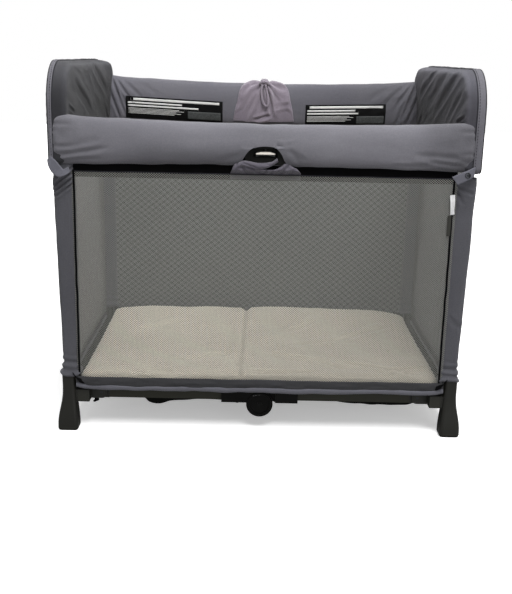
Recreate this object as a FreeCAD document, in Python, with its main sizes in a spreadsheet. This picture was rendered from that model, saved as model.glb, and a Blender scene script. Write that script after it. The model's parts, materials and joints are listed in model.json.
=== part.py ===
import FreeCAD, Part
import math
import os
import Sketcher

# Travel play yard: two bent-tube end hoops with moulded feet, a hinged base and hinged top rails
# that fold together, fabric walls, padded covers and a two-piece mattress.
# Frame: origin on the floor under the middle, +X along the length to the right, +Y to the back,
# +Z up. Millimetres.

Vector = FreeCAD.Vector
doc = FreeCAD.newDocument("play_yard")
sheet = doc.addObject("Spreadsheet::Sheet", "Dims")

# Driving dimensions. Places along X and Y are distances from the middle, and each piece takes its
# sign from its side. Heights are from the floor; those of the top rails are for the front rail.
SIZES = dict(
    half_length=480.0, half_depth=328.0, overall_height=855.0,
    # shared by several pieces
    fit_gap=0.05, loose_gap=0.5, tube_wall=1.2, layer_gap=0.2, fork_clear=0.2,
    # end hoops
    leg_off=452.0, leg_dep=297.0, hoop_rad=11.0, hoop_foot=15.0, hoop_rise=838.0, hoop_bend=85.0,
    # feet, their bosses and soles
    foot_top=142.0, foot_neck=96.0, foot_floor=5.0, foot_half_wid=15.5, foot_half_deep=16.0,
    foot_base_in=432.0, foot_base_out=480.0, foot_base_half_deep=22.0, foot_round=9.0,
    boss_face=432.0, boss_low=70.0, boss_high=100.0, boss_inset=6.0, boss_front=10.0,
    boss_rear=14.0, sole_inset=1.0, sole_round=3.5,
    # bottom crossbar
    crossbar_off=461.0, crossbar_lift=58.0, crossbar_rad=8.0, crossbar_half=284.0,
    crossbar_seat=20.0,
    # pivots and the forks around them
    pivot_off=380.0, base_pivot_lift=85.0, top_pivot_lift=685.5, pin_rad=3.0, fork_wall=5.0,
    fork_nose=12.0, nose_round=11.0, fork_slot_half=20.0, web_start=25.0, web_front=9.0,
    top_fork_half_high=12.0, collar_rad=17.0, collar_drop=34.0, collar_rise=3.0, collar_bite=0.6,
    # base rails and their knuckles
    rail_line=266.0, rail_half_wid=10.0, rail_low=70.0, rail_high=98.0, rail_wall=1.5,
    rail_round=3.0, rail_start=362.0, rail_stop=66.0, rail_plug=30.0, base_knuckle_rad=13.0,
    base_plug_lap=1.0, base_plug_round=2.0,
    # base hub
    base_hub_lift=62.5, hub_rad=32.0, hub_in=259.0, hub_out=283.0, hub_arm_end=92.0,
    hub_arm_near=38.0, hub_arm_lap=4.0, hub_arm_low=66.0, hub_arm_side=4.0, hub_axle_rad=6.0,
    hub_axle_proud=1.5, rim_inset=3.0, rim_inner_inset=8.0, rim_proud=3.0,
    # top rails and their knuckles; the back rail sits back_raise higher
    back_raise=64.0, top_tube_lift=693.0, top_tube_rad=10.0, top_tube_start=362.0,
    top_tube_stop=75.0, tongue_half=8.0, tongue_below=3.0, tongue_above=8.0,
    top_knuckle_rad=12.0, top_plug_lap=3.0,
    # top hub and grip
    top_hub_lift=708.0, top_hub_rad=18.0, top_hub_out=318.0, top_hub_in=288.0, top_neck_end=44.0,
    top_neck_step=2.0, top_arm_near=38.0, top_arm_end=100.0, top_arm_low=680.0,
    top_arm_high=706.0, top_pin_rad=4.0, grip_half=45.0, grip_low=642.0, grip_high=678.0,
    grip_step=2.0, grip_neck_half=20.0, grip_neck_lap=4.0, grip_neck_drop=8.0,
    # release lever, its recess and its spring
    lever_half=21.0, lever_flat_half=10.0, lever_low=662.0, lever_high=670.0, lever_sag_low=2.0,
    lever_sag_high=3.0, lever_travel=5.0, lever_out=322.0, lever_in=307.0, recess_half=27.0,
    recess_deep=13.0, recess_below=4.0, recess_above=1.5, stem_line=311.0, stem_rad=1.5,
    stem_lap=1.0, stem_high=13.0, stem_bore_rad=1.6, stem_bore_low=12.0, stem_bore_high=19.0,
    spring_bore_rad=3.8, spring_bore_high=16.0, spring_wire=0.45, spring_high=14.0,
    spring_turns=4.0, spring_rad=2.6, spring_start=0.1, spring_gap=0.2,
    # wing pads
    pad_inner=435.0, pad_low=630.0, pad_corner=98.0, pad_slot_half=17.5, pad_slot_past=2.0,
    pad_headroom=1.0,
    # rail covers
    cover_start=0.5, cover_end=433.0, cover_low=633.0, cover_high=739.0, cover_back=281.0,
    cover_wall=7.0, cover_thin=1.5, cover_round=18.0, cover_inner_round=5.0, cutout_half=50.0,
    cutout_high=684.0, cutout_back=8.0,
    # leg sleeves
    sleeve_in=424.0, sleeve_out=466.0, sleeve_front=311.0, sleeve_rear=283.0, sleeve_low=150.0,
    sleeve_high=626.0, sleeve_round=12.0,
    # mesh walls
    mesh_thick=1.2, wall_low=104.0, wall_high=628.0, wall_half=422.0, wall_line=309.5,
    end_mesh_off=455.0, end_mesh_half=280.5,
    # tabs and zip pull
    tab_near=0.3, tab_far=1.8, stud_off=443.0, stud_lift=632.0, stud_rad=4.5, stud_far=3.5,
    zip_in=413.0, zip_out=421.0, zip_near=1.0, zip_far=3.5, zip_low=490.0, zip_high=536.0,
    # floor and mattress
    floor_low=99.0, floor_high=102.0, board_low=102.6, board_high=105.6, board_inset=8.0,
    mattress_low=106.5, mattress_high=138.0, mattress_end=415.0, mattress_half_dep=281.0,
    notch_off=361.0, notch_dep=247.0, seam_gap=2.0,
)

PAST = 1.0  # how far a cut runs past a face that it opens
NEAR = 0.01  # tolerance for picking edges by place


class Dim:
    """A number together with the sheet expression that it comes from."""

    def __init__(self, text, value):
        self.text, self.value = text, float(value)

    def _join(self, other, sign, work):
        other = as_dim(other)
        text = "(%s %s %s)" % (self.text, sign, other.text)
        return Dim(text, work(self.value, other.value))

    def __add__(self, other):
        return self._join(other, "+", lambda x, y: x + y)

    def __sub__(self, other):
        return self._join(other, "-", lambda x, y: x - y)

    def __mul__(self, other):
        return self._join(other, "*", lambda x, y: x * y)

    def __truediv__(self, other):
        return self._join(other, "/", lambda x, y: x / y)

    def __neg__(self):
        return self * -1


def as_dim(x):
    if isinstance(x, Dim):
        return x
    text = repr(float(x))
    return Dim("(%s)" % text if x < 0 else text, x)


class Dimensions:
    """One attribute for each alias in the sheet, and a few worked out from them."""


dims = Dimensions()
for row, (alias, number) in enumerate(SIZES.items(), 1):
    sheet.set("A%d" % row, alias)
    sheet.set("B%d" % row, repr(number))
    sheet.setAlias("B%d" % row, alias)
    setattr(dims, alias, Dim("Dims." + alias, number))
doc.recompute()

dims.hoop_bore = dims.hoop_rad - dims.tube_wall
dims.top_tube_bore = dims.top_tube_rad - dims.tube_wall
dims.hub_mid = (dims.hub_in + dims.hub_out) / 2
dims.top_line = (dims.top_hub_in + dims.top_hub_out) / 2
dims.base_fork_gap = dims.rail_half_wid + dims.fork_clear  # half the slot's width
dims.base_fork_half = dims.base_fork_gap + dims.fork_wall
dims.top_fork_gap = dims.tongue_half + dims.fork_clear
dims.top_fork_half = dims.top_fork_gap + dims.fork_wall
dims.pin_bore = dims.pin_rad + dims.fit_gap

SIDES = ((-1, "left"), (1, "right"))
# facing sign, name, raise of the top rail
RAILS = ((-1, "front", as_dim(0.0)), (1, "back", dims.back_raise))

PIECES = []


# ---- bodies, sketches and their driven values ----

def new_body(label, several=False):
    part = doc.addObject("PartDesign::Body", label)
    part.Label = label
    if several:
        part.AllowCompound = True
    PIECES.append(part)
    return part


def drive(obj, prop, value):
    """Sets a property and binds it to its sheet expression."""
    value = as_dim(value)
    setattr(obj, prop, value.value)
    obj.setExpression(prop, value.text)


def drive_constraint(sketch, *spec):
    """Adds a dimension to the sketch; the last item is its Dim."""
    value = spec[-1]
    index = sketch.addConstraint(Sketcher.Constraint(*spec[:-1], value.value))
    sketch.setExpression("Constraints[%d]" % index, value.text)


def origin_plane(part, role):
    return [f for f in part.Origin.OriginFeatures if f.Role == role][0]


def new_sketch(part, axis, place, *outlines):
    """A sketch square to an axis at a place along it. The one square to Y faces -Y."""
    sketch = part.newObject("Sketcher::SketchObject", part.Label + "_sketch")
    role = {"x": "YZ_Plane", "y": "XZ_Plane", "z": "XY_Plane"}[axis]
    sketch.AttachmentSupport = [(origin_plane(part, role), "")]
    sketch.MapMode = "FlatFace"
    offset = as_dim(place)
    if axis == "y":
        offset = -offset
    sketch.AttachmentOffset = FreeCAD.Placement(Vector(0, 0, offset.value), FreeCAD.Rotation())
    sketch.setExpression("AttachmentOffset.Base.z", offset.text)
    for draw in outlines:
        draw(sketch)
    return sketch


def pin_point(sketch, geo, pos, x, y):
    """Holds one sketch point at sheet-driven coordinates."""
    for kind, value, axis in (("DistanceX", as_dim(x), -2), ("DistanceY", as_dim(y), -1)):
        if abs(value.value) < 1e-9:
            sketch.addConstraint(Sketcher.Constraint("PointOnObject", geo, pos, axis))
        else:
            drive_constraint(sketch, kind, -1, 1, geo, pos, value)


def ordered(first, second):
    return sorted((as_dim(first), as_dim(second)), key=lambda d: d.value)


def around(centre, half):
    return as_dim(centre) - half, as_dim(centre) + half


# ---- outlines: each returns a function that draws into a sketch ----

def poly(*points):
    points = [(as_dim(x), as_dim(y)) for x, y in points]

    def draw(sketch):
        count, first = len(points), sketch.GeometryCount
        corners = [Vector(x.value, y.value, 0) for x, y in points]
        for i in range(count):
            sketch.addGeometry(Part.LineSegment(corners[i], corners[(i + 1) % count]))
        for i in range(count):
            following = first + (i + 1) % count
            sketch.addConstraint(
                Sketcher.Constraint("Coincident", first + i, 2, following, 1))
            pin_point(sketch, first + i, 1, *points[i])

    return draw


def rect(x0, x1, y0, y1):
    x0, x1 = ordered(x0, x1)
    y0, y1 = ordered(y0, y1)
    return poly((x0, y0), (x1, y0), (x1, y1), (x0, y1))


def circle(x, y, radius):
    x, y, radius = as_dim(x), as_dim(y), as_dim(radius)

    def draw(sketch):
        geo = sketch.addGeometry(
            Part.Circle(Vector(x.value, y.value, 0), Vector(0, 0, 1), radius.value))
        pin_point(sketch, geo, 3, x, y)
        drive_constraint(sketch, "Radius", geo, radius)

    return draw


def arc(x, y, radius, start, end):
    ring = Part.Circle(Vector(x, y, 0), Vector(0, 0, 1), radius)
    return Part.ArcOfCircle(ring, math.radians(start), math.radians(end))


def rounded_rect(x0, x1, y0, y1, radius):
    """A rectangle with rounded corners: four arcs joined by tangent lines."""
    x0, x1 = ordered(x0, x1)
    y0, y1 = ordered(y0, y1)
    radius = as_dim(radius)
    # corner centre, and the angle where its arc starts
    corners = [(x1 - radius, y1 - radius, 0), (x0 + radius, y1 - radius, 90),
               (x0 + radius, y0 + radius, 180), (x1 - radius, y0 + radius, 270)]

    def draw(sketch):
        arcs = [sketch.addGeometry(arc(x.value, y.value, radius.value, start, start + 90))
                for x, y, start in corners]
        lines = []
        for i in range(4):
            x, y, start = corners[i]
            next_x, next_y, _ = corners[(i + 1) % 4]
            angle = math.radians(start + 90)
            out = Vector(math.cos(angle), math.sin(angle), 0) * radius.value
            lines.append(sketch.addGeometry(Part.LineSegment(
                Vector(x.value, y.value, 0) + out,
                Vector(next_x.value, next_y.value, 0) + out)))
        for i in range(4):
            following = arcs[(i + 1) % 4]
            sketch.addConstraint(Sketcher.Constraint("Tangent", arcs[i], 2, lines[i], 1))
            sketch.addConstraint(Sketcher.Constraint("Tangent", lines[i], 2, following, 1))
        for geo, (x, y, _) in zip(arcs, corners):
            pin_point(sketch, geo, 3, x, y)
            drive_constraint(sketch, "Radius", geo, radius)

    return draw


# ---- features ----

def slab(part, axis, start, end, *outlines):
    """Adds the outlines' profile between two places along an axis."""
    low, high = ordered(start, end)
    sketch = new_sketch(part, axis, high if axis == "y" else low, *outlines)
    feature = part.newObject("PartDesign::Pad", part.Label + "_pad")
    feature.Profile = sketch
    drive(feature, "Length", high - low)
    sketch.Visibility = False


def cut(part, axis, start, end, *outlines, past=0.0):
    """Cuts the profile between two places, each moved outwards by past."""
    low, high = ordered(start, end)
    low, high = low - past, high + past
    sketch = new_sketch(part, axis, low if axis == "y" else high, *outlines)
    doc.recompute()
    before = part.Tip.Shape.Volume
    feature = part.newObject("PartDesign::Pocket", part.Label + "_pocket")
    feature.Profile = sketch
    drive(feature, "Length", high - low)
    doc.recompute()
    if not feature.Shape.Volume < before - 0.5:
        raise RuntimeError("%s: pocket cuts nothing" % part.Label)


def block(part, x0, x1, y0, y1, z0, z1):
    slab(part, "z", z0, z1, rect(x0, x1, y0, y1))


def box_piece(label, *bounds):
    part = new_body(label)
    block(part, *bounds)
    return part


def fillet(part, radius, wanted):
    """Rounds the edges of the tip that the test picks."""
    doc.recompute()
    tip = part.Tip
    names = ["Edge%d" % i for i, edge in enumerate(tip.Shape.Edges, 1) if wanted(edge)]
    if not names:
        raise RuntimeError("%s: no edge to round" % part.Label)
    feature = part.newObject("PartDesign::Fillet", part.Label + "_fillet")
    feature.Base = (tip, names)
    drive(feature, "Radius", radius)


def edge_along(edge, axis):
    if len(edge.Vertexes) != 2:
        return False
    angle = (edge.Vertexes[1].Point - edge.Vertexes[0].Point).getAngle(axis)
    return abs(angle) < 1e-6 or abs(angle - math.pi) < 1e-6


def mirror_to_back(part):
    """Repeats everything so far on the other side of XZ, as a second solid of the same piece."""
    doc.recompute()
    features = [f for f in part.Group if f.isDerivedFrom("PartDesign::Feature")]
    mirror = part.newObject("PartDesign::Mirrored", part.Label + "_mirror")
    mirror.Originals = features
    mirror.MirrorPlane = (origin_plane(part, "XZ_Plane"), [""])
    part.Tip = mirror


def hoop_path(sketch):
    """The end hoop's centre line: up the front leg, across the top and down the back leg."""
    y, low = dims.leg_dep.value, dims.hoop_foot.value
    top, bend = dims.hoop_rise.value, dims.hoop_bend.value
    inner, shoulder = y - bend, top - bend

    def line(y0, z0, y1, z1):
        return sketch.addGeometry(Part.LineSegment(Vector(y0, z0, 0), Vector(y1, z1, 0)))

    front_leg = line(-y, low, -y, shoulder)
    front_bend = sketch.addGeometry(arc(-inner, shoulder, bend, 90, 180))
    bar = line(-inner, top, inner, top)
    back_bend = sketch.addGeometry(arc(inner, shoulder, bend, 0, 90))
    back_leg = line(y, shoulder, y, low)
    for ends in ((front_leg, 2, front_bend, 2), (front_bend, 1, bar, 1),
                 (bar, 2, back_bend, 2), (back_bend, 1, back_leg, 1)):
        sketch.addConstraint(Sketcher.Constraint("Tangent", *ends))
    pin_point(sketch, front_leg, 1, -dims.leg_dep, dims.hoop_foot)
    pin_point(sketch, back_leg, 2, dims.leg_dep, dims.hoop_foot)
    for leg in (front_leg, back_leg):
        sketch.addConstraint(Sketcher.Constraint("Vertical", leg))
    for bend_arc in (front_bend, back_bend):
        drive_constraint(sketch, "Radius", bend_arc, dims.hoop_bend)
    drive_constraint(sketch, "DistanceY", -1, 1, bar, 1, dims.hoop_rise)


def sweep_hoop(part, side, kind, *radii):
    """Sweeps circles along the hoop; kind is Additive or Subtractive."""
    leg_x = dims.leg_off * side
    path = new_sketch(part, "x", leg_x, hoop_path)
    rings = [circle(leg_x, -dims.leg_dep, radius) for radius in radii]
    profile = new_sketch(part, "z", dims.hoop_foot, *rings)
    doc.recompute()
    sweep = part.newObject("PartDesign::%sPipe" % kind, part.Label + "_sweep")
    sweep.Profile = profile
    sweep.Spine = (path, ["Edge%d" % i for i in range(1, 6)])
    sweep.Mode = "Standard"
    sweep.Transition = "Transformed"
    doc.recompute()


# ---- end frames: everything fixed to one end hoop ----

# height of each foot section, and its share of the flare from neck to base
FOOT_SECTIONS = (
    (dims.foot_floor, 1.0), (22.0, 0.97), (44.0, 0.72), (66.0, 0.34),
    (dims.foot_neck - 6, 0.06), (dims.foot_neck + 12, 0.0), (dims.foot_top, 0.0),
)


def end_hoop(side, name):
    part = new_body("end_hoop_" + name)
    sweep_hoop(part, side, "Additive", dims.hoop_rad, dims.hoop_bore)


def feet(side, name):
    """Moulded feet, flared towards the floor and outwards, each with a flat inner boss."""
    part = new_body("feet_" + name, True)
    leg_y = dims.leg_dep
    neck_in, neck_out = around(dims.leg_off, dims.foot_half_wid)
    neck_deep = dims.foot_half_deep
    sections = []
    for height, share in FOOT_SECTIONS:
        inner = neck_in + (dims.foot_base_in - neck_in) * share
        outer = neck_out + (dims.foot_base_out - neck_out) * share
        half_deep = neck_deep + (dims.foot_base_half_deep - neck_deep) * share
        outline = rounded_rect(
            inner * side, outer * side, *around(-leg_y, half_deep), dims.foot_round)
        sections.append(new_sketch(part, "z", height, outline))
    doc.recompute()
    loft = part.newObject("PartDesign::AdditiveLoft", part.Label + "_loft")
    loft.Profile = sections[0]
    loft.Sections = sections[1:]
    loft.Ruled = False
    doc.recompute()
    block(part, (dims.leg_off - dims.boss_inset) * side, dims.boss_face * side,
          -leg_y - dims.boss_front, -leg_y + dims.boss_rear, dims.boss_low, dims.boss_high)
    # socket for the leg, then the crossbar's seat
    cut(part, "z", dims.hoop_foot, dims.foot_top + PAST,
        circle(dims.leg_off * side, -leg_y, dims.hoop_rad + dims.fit_gap))
    cut(part, "y", -dims.crossbar_half, -dims.crossbar_half + dims.crossbar_seat,
        circle(dims.crossbar_off * side, dims.crossbar_lift, dims.crossbar_rad + dims.fit_gap))
    mirror_to_back(part)


def foot_soles(side, name):
    part = new_body("foot_soles_" + name, True)
    inset = dims.sole_inset
    slab(part, "z", 0.0, dims.foot_floor, rounded_rect(
        (dims.foot_base_in + inset) * side, (dims.foot_base_out - inset) * side,
        *around(-dims.leg_dep, dims.foot_base_half_deep - inset), dims.foot_round - inset))
    fillet(part, dims.sole_round, lambda edge: all(abs(v.Z) < NEAR for v in edge.Vertexes))
    mirror_to_back(part)


def bottom_crossbar(side, name):
    part = new_body("bottom_crossbar_" + name)
    x, z, radius = dims.crossbar_off * side, dims.crossbar_lift, dims.crossbar_rad
    slab(part, "y", -dims.crossbar_half, dims.crossbar_half,
         circle(x, z, radius), circle(x, z, radius - dims.tube_wall))


def is_nose_edge(edge, side):
    """Whether an edge runs along Y at a fork's tip."""
    tip_x = (dims.pivot_off - dims.fork_nose).value * side
    return edge_along(edge, Vector(0, 1, 0)) and abs(edge.Vertexes[0].X - tip_x) < NEAR


def fork_slot(side, y, half_gap):
    slot_in, slot_out = around(dims.pivot_off, dims.fork_slot_half)
    return rect(slot_in * side, slot_out * side, *around(y, half_gap))


def base_brackets(side, name):
    """Forks that carry the base rails' ends, each joined to its foot's boss by a web."""
    part = new_body("base_brackets_" + name, True)
    line, face = -dims.rail_line, dims.boss_face * side
    heights = dims.rail_low, dims.boss_high
    fork = around(line, dims.base_fork_half)
    block(part, face, (dims.pivot_off - dims.fork_nose) * side, *fork, *heights)
    block(part, face, (dims.pivot_off + dims.web_start) * side,
          -dims.leg_dep - dims.web_front, line, *heights)
    cut(part, "z", *heights, fork_slot(side, line, dims.base_fork_gap), past=2 * PAST)
    fillet(part, dims.nose_round, lambda edge: is_nose_edge(edge, side))
    cut(part, "y", *fork, circle(dims.pivot_off * side, dims.base_pivot_lift, dims.pin_bore),
        past=PAST)
    mirror_to_back(part)


def top_brackets(side, name):
    """Collars on the legs, each with a fork that carries a top rail's end."""
    part = new_body("top_brackets_" + name, True)
    leg_x, half_high = dims.leg_off * side, dims.top_fork_half_high
    for facing, _, rise in RAILS:
        z, y, leg_y = dims.top_pivot_lift + rise, dims.top_line * facing, dims.leg_dep * facing
        slab(part, "z", z - dims.collar_drop, z + dims.collar_rise,
             circle(leg_x, leg_y, dims.collar_rad))
        fork, heights = around(y, dims.top_fork_half), around(z, half_high)
        block(part, (dims.leg_off - dims.hoop_rad - dims.collar_bite) * side,
              (dims.pivot_off - dims.fork_nose) * side, *fork, *heights)
        cut(part, "z", z - dims.collar_drop - PAST, z + half_high + 2 * PAST,
            circle(leg_x, leg_y, dims.hoop_rad + dims.fit_gap))
        cut(part, "z", *heights, fork_slot(side, y, dims.top_fork_gap), past=2 * PAST)

        def on_this_fork(edge):
            corner = edge.Vertexes[0]
            near = abs(corner.Z - z.value) < half_high.value + 1 and corner.Y * facing > 0
            return near and is_nose_edge(edge, side)

        fillet(part, dims.nose_round, on_this_fork)
        cut(part, "y", *fork, circle(dims.pivot_off * side, z, dims.pin_bore), past=PAST)


def pivot_pins(side, name):
    part = new_body("pivot_pins_" + name, True)
    pins = [(dims.top_pivot_lift + rise, around(dims.top_line * facing, dims.top_fork_half))
            for facing, _, rise in RAILS]
    pins += [(dims.base_pivot_lift, around(dims.rail_line * facing, dims.base_fork_half))
             for facing, _, _ in RAILS]
    for z, span in pins:
        slab(part, "y", *span, circle(dims.pivot_off * side, z, dims.pin_rad))


def wing_pad(side, name):
    """Pad around the hoop, with the hoop's channel and pockets for the collars and forks."""
    part = new_body("wing_pad_" + name)
    block(part, dims.pad_inner * side, dims.half_length * side,
          -dims.half_depth, dims.half_depth, dims.pad_low, dims.overall_height)
    top = dims.overall_height.value
    fillet(part, dims.pad_corner, lambda edge: (
        edge_along(edge, Vector(1, 0, 0)) and abs(edge.Vertexes[0].Z - top) < NEAR))
    sweep_hoop(part, side, "Subtractive", dims.hoop_rad + dims.loose_gap)
    leg_x = dims.leg_off * side
    for facing, _, rise in RAILS:
        z = dims.top_pivot_lift + rise
        heights = (z - dims.collar_drop - dims.loose_gap,
                   z + dims.top_fork_half_high + dims.pad_headroom)
        cut(part, "z", *heights,
            circle(leg_x, dims.leg_dep * facing, dims.collar_rad + dims.loose_gap))
        cut(part, "z", *heights,
            rect(leg_x, (dims.pad_inner - dims.pad_slot_past) * side,
                 *around(dims.top_line * facing, dims.pad_slot_half)))


def end_mesh(side, name):
    box_piece("end_mesh_" + name,
              dims.end_mesh_off * side, (dims.end_mesh_off + dims.mesh_thick) * side,
              -dims.end_mesh_half, dims.end_mesh_half, dims.wall_low, dims.wall_high)


def leg_sleeves(side, name):
    part = new_body("leg_sleeves_" + name, True)
    heights = dims.sleeve_low, dims.sleeve_high
    slab(part, "z", *heights, rounded_rect(
        dims.sleeve_in * side, dims.sleeve_out * side,
        -dims.sleeve_front, -dims.sleeve_rear, dims.sleeve_round))
    cut(part, "z", *heights,
        circle(dims.leg_off * side, -dims.leg_dep, dims.hoop_rad + dims.loose_gap), past=PAST)
    mirror_to_back(part)


# ---- small pieces on the front ----

# corner tabs: x from, x to, z from, z to
CORNER_TABS = {
    "left": (-455.0, -407.0, 627.0, 641.0),
    "right": (416.0, 454.0, 624.0, 652.0),
}


def corner_tabs():
    """Tabs that button the front cover to the legs; the right one has its stud."""
    face = -dims.half_depth
    for name, (x0, x1, z0, z1) in CORNER_TABS.items():
        part = box_piece("corner_tab_" + name, x0, x1,
                         face - dims.tab_far, face - dims.tab_near, z0, z1)
        if name == "right":
            slab(part, "y", face - dims.stud_far, face - dims.tab_far,
                 circle(dims.stud_off, dims.stud_lift, dims.stud_rad))


def zip_pull():
    """Zip pull on the right front leg."""
    face = -dims.sleeve_front
    box_piece("zip_pull", dims.zip_in, dims.zip_out,
              face - dims.zip_far, face - dims.zip_near, dims.zip_low, dims.zip_high)


# ---- base ----

def rail_section(inset, radius):
    """The front base rail's outline in YZ, drawn in by an inset."""
    return rounded_rect(*around(-dims.rail_line, dims.rail_half_wid - inset),
                        dims.rail_low + inset, dims.rail_high - inset, radius)


def base_rails(side, name):
    """Rectangular tube rails, front and back."""
    part = new_body("base_rails_" + name, True)
    wall, corner = dims.rail_wall, dims.rail_round
    slab(part, "x", dims.rail_start * side, dims.rail_stop * side,
         rail_section(0.0, corner), rail_section(wall, corner - wall))
    mirror_to_back(part)


def base_knuckles(side, name):
    """Knuckles plugged into the base rails' outer ends."""
    part = new_body("base_knuckles_" + name, True)
    x, z, start = dims.pivot_off * side, dims.base_pivot_lift, dims.rail_start
    span = around(-dims.rail_line, dims.rail_half_wid)
    slab(part, "y", *span, circle(x, z, dims.base_knuckle_rad))
    slab(part, "y", *span, rect(x, start * side, dims.rail_low, dims.rail_high))
    slab(part, "x", (start + dims.base_plug_lap) * side, (start - dims.rail_plug) * side,
         rail_section(dims.rail_wall + dims.fit_gap, dims.base_plug_round))
    cut(part, "y", *span, circle(x, z, dims.pin_bore), past=PAST)
    mirror_to_back(part)


def base_hubs(side, name):
    """Hub halves: a disc in its own layer, a neck and a socket for the rail."""
    part = new_body("base_hubs_" + name, True)
    z, line, gap = dims.base_hub_lift, -dims.rail_line, dims.fit_gap
    if side < 0:
        layer = -dims.hub_out, -dims.hub_mid - dims.layer_gap
    else:
        layer = -dims.hub_mid + dims.layer_gap, -dims.hub_in
    low, high, near = dims.hub_arm_low, dims.rail_high, dims.hub_arm_near
    slab(part, "y", *layer, circle(0.0, z, dims.hub_rad))
    slab(part, "y", *layer, rect(0.0, (near + dims.hub_arm_lap) * side, low, high))
    slab(part, "y", -dims.hub_out, line + dims.rail_half_wid + dims.hub_arm_side,
         rect(near * side, dims.hub_arm_end * side, low, high))
    cut(part, "x", dims.rail_stop * side, (dims.hub_arm_end + PAST) * side,
        rect(*around(line, dims.rail_half_wid + gap), dims.rail_low - gap, high + PAST))
    cut(part, "y", *layer, circle(0.0, z, dims.hub_axle_rad + gap), past=PAST)
    if side < 0:
        # raised rim around the outer disc's face
        slab(part, "y", layer[0] - dims.rim_proud, layer[0],
             circle(0.0, z, dims.hub_rad - dims.rim_inset),
             circle(0.0, z, dims.hub_rad - dims.rim_inner_inset))
    mirror_to_back(part)


def base_decks(side, name):
    """Floor sheet, mattress board and mattress half."""
    start, notch_x = dims.seam_gap * side, dims.notch_off * side
    end, deep, notch_y = dims.mattress_end * side, dims.mattress_half_dep, dims.notch_dep
    # outer corners notched to leave room for the brackets
    notched = poly((start, -deep), (notch_x, -deep), (notch_x, -notch_y), (end, -notch_y),
                   (end, notch_y), (notch_x, notch_y), (notch_x, deep), (start, deep))
    plain = rect(start, notch_x, *around(0.0, deep - dims.board_inset))
    for label, low, high, outline in (
        ("floor_sling_", dims.floor_low, dims.floor_high, notched),
        ("mattress_board_", dims.board_low, dims.board_high, plain),
        ("mattress_", dims.mattress_low, dims.mattress_high, notched),
    ):
        slab(new_body(label + name), "z", low, high, outline)


def base_hub_axle():
    """One rod through both hubs, front to back."""
    slab(new_body("base_hub_axle"), "y", *around(0.0, dims.hub_out + dims.hub_axle_proud),
         circle(0.0, dims.base_hub_lift, dims.hub_axle_rad))


# ---- top rails: facing is -1 at the front and +1 at the back ----

def top_rail(side, facing, name, rise):
    y, z = dims.top_line * facing, dims.top_tube_lift + rise
    slab(new_body("top_rail_" + name), "x",
         dims.top_tube_start * side, dims.top_tube_stop * side,
         circle(y, z, dims.top_tube_rad), circle(y, z, dims.top_tube_bore))


def top_knuckle(side, facing, name, rise):
    """A tongue in the bracket's fork and a spigot in the tube."""
    part = new_body("top_knuckle_" + name)
    x, y, start = dims.pivot_off * side, dims.top_line * facing, dims.top_tube_start
    pivot_z, tube_z = dims.top_pivot_lift + rise, dims.top_tube_lift + rise
    span = around(y, dims.tongue_half)
    slab(part, "y", *span, circle(x, pivot_z, dims.top_knuckle_rad))
    slab(part, "y", *span, rect(x, start * side, pivot_z - dims.tongue_below,
                                tube_z + dims.tongue_above))
    slab(part, "x", (start + dims.top_plug_lap) * side, (start - dims.rail_plug) * side,
         circle(y, tube_z, dims.top_tube_bore - dims.fit_gap))
    cut(part, "y", *span, circle(x, pivot_z, dims.pin_bore), past=PAST)


def add_grip(part, facing, rise, layer):
    """The grip below the hub, with the lever's recess and bores for the spring and stem."""
    outer, stem_y = dims.top_hub_out, dims.stem_line * facing
    grip_top, lever_top = dims.grip_high + rise, dims.lever_high + rise
    slab(part, "y", (dims.top_hub_in + dims.grip_step) * facing, outer * facing,
         rect(-dims.grip_half, dims.grip_half, dims.grip_low + rise, grip_top))
    slab(part, "y", *layer,
         rect(-dims.grip_neck_half, dims.grip_neck_half, grip_top - dims.grip_neck_lap,
              dims.top_hub_lift + rise - dims.grip_neck_drop))
    cut(part, "y", (outer + PAST) * facing, (outer - dims.recess_deep) * facing,
        rect(-dims.recess_half, dims.recess_half, dims.lever_low + rise - dims.recess_below,
             lever_top + dims.lever_travel + dims.recess_above))
    cut(part, "z", lever_top, lever_top + dims.spring_bore_high,
        circle(0.0, stem_y, dims.spring_bore_rad))
    cut(part, "z", lever_top + dims.stem_bore_low, lever_top + dims.stem_bore_high,
        circle(0.0, stem_y, dims.stem_bore_rad))


def top_hub(side, facing, name, rise):
    """Hub half: a disc and neck in one layer and a full-depth arm; the left has the grip."""
    part = new_body("top_hub_" + name)
    z, inner, outer = dims.top_hub_lift + rise, dims.top_hub_in, dims.top_hub_out
    if side < 0:
        layer = (dims.top_line + dims.layer_gap) * facing, outer * facing
    else:
        layer = inner * facing, (dims.top_line - dims.layer_gap) * facing
    low, high, step = dims.top_arm_low + rise, dims.top_arm_high + rise, dims.top_neck_step
    slab(part, "y", *layer, circle(0.0, z, dims.top_hub_rad))
    slab(part, "y", *layer, rect(0.0, dims.top_neck_end * side, low + step, high - step))
    slab(part, "y", inner * facing, outer * facing,
         rect(dims.top_arm_near * side, dims.top_arm_end * side, low, high))
    cut(part, "x", dims.top_tube_stop * side, (dims.top_arm_end + PAST) * side,
        circle(dims.top_line * facing, dims.top_tube_lift + rise,
               dims.top_tube_rad + dims.fit_gap))
    if side < 0:
        add_grip(part, facing, rise, layer)
    cut(part, "y", *layer, circle(0.0, z, dims.top_pin_rad + dims.fit_gap), past=PAST)


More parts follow.
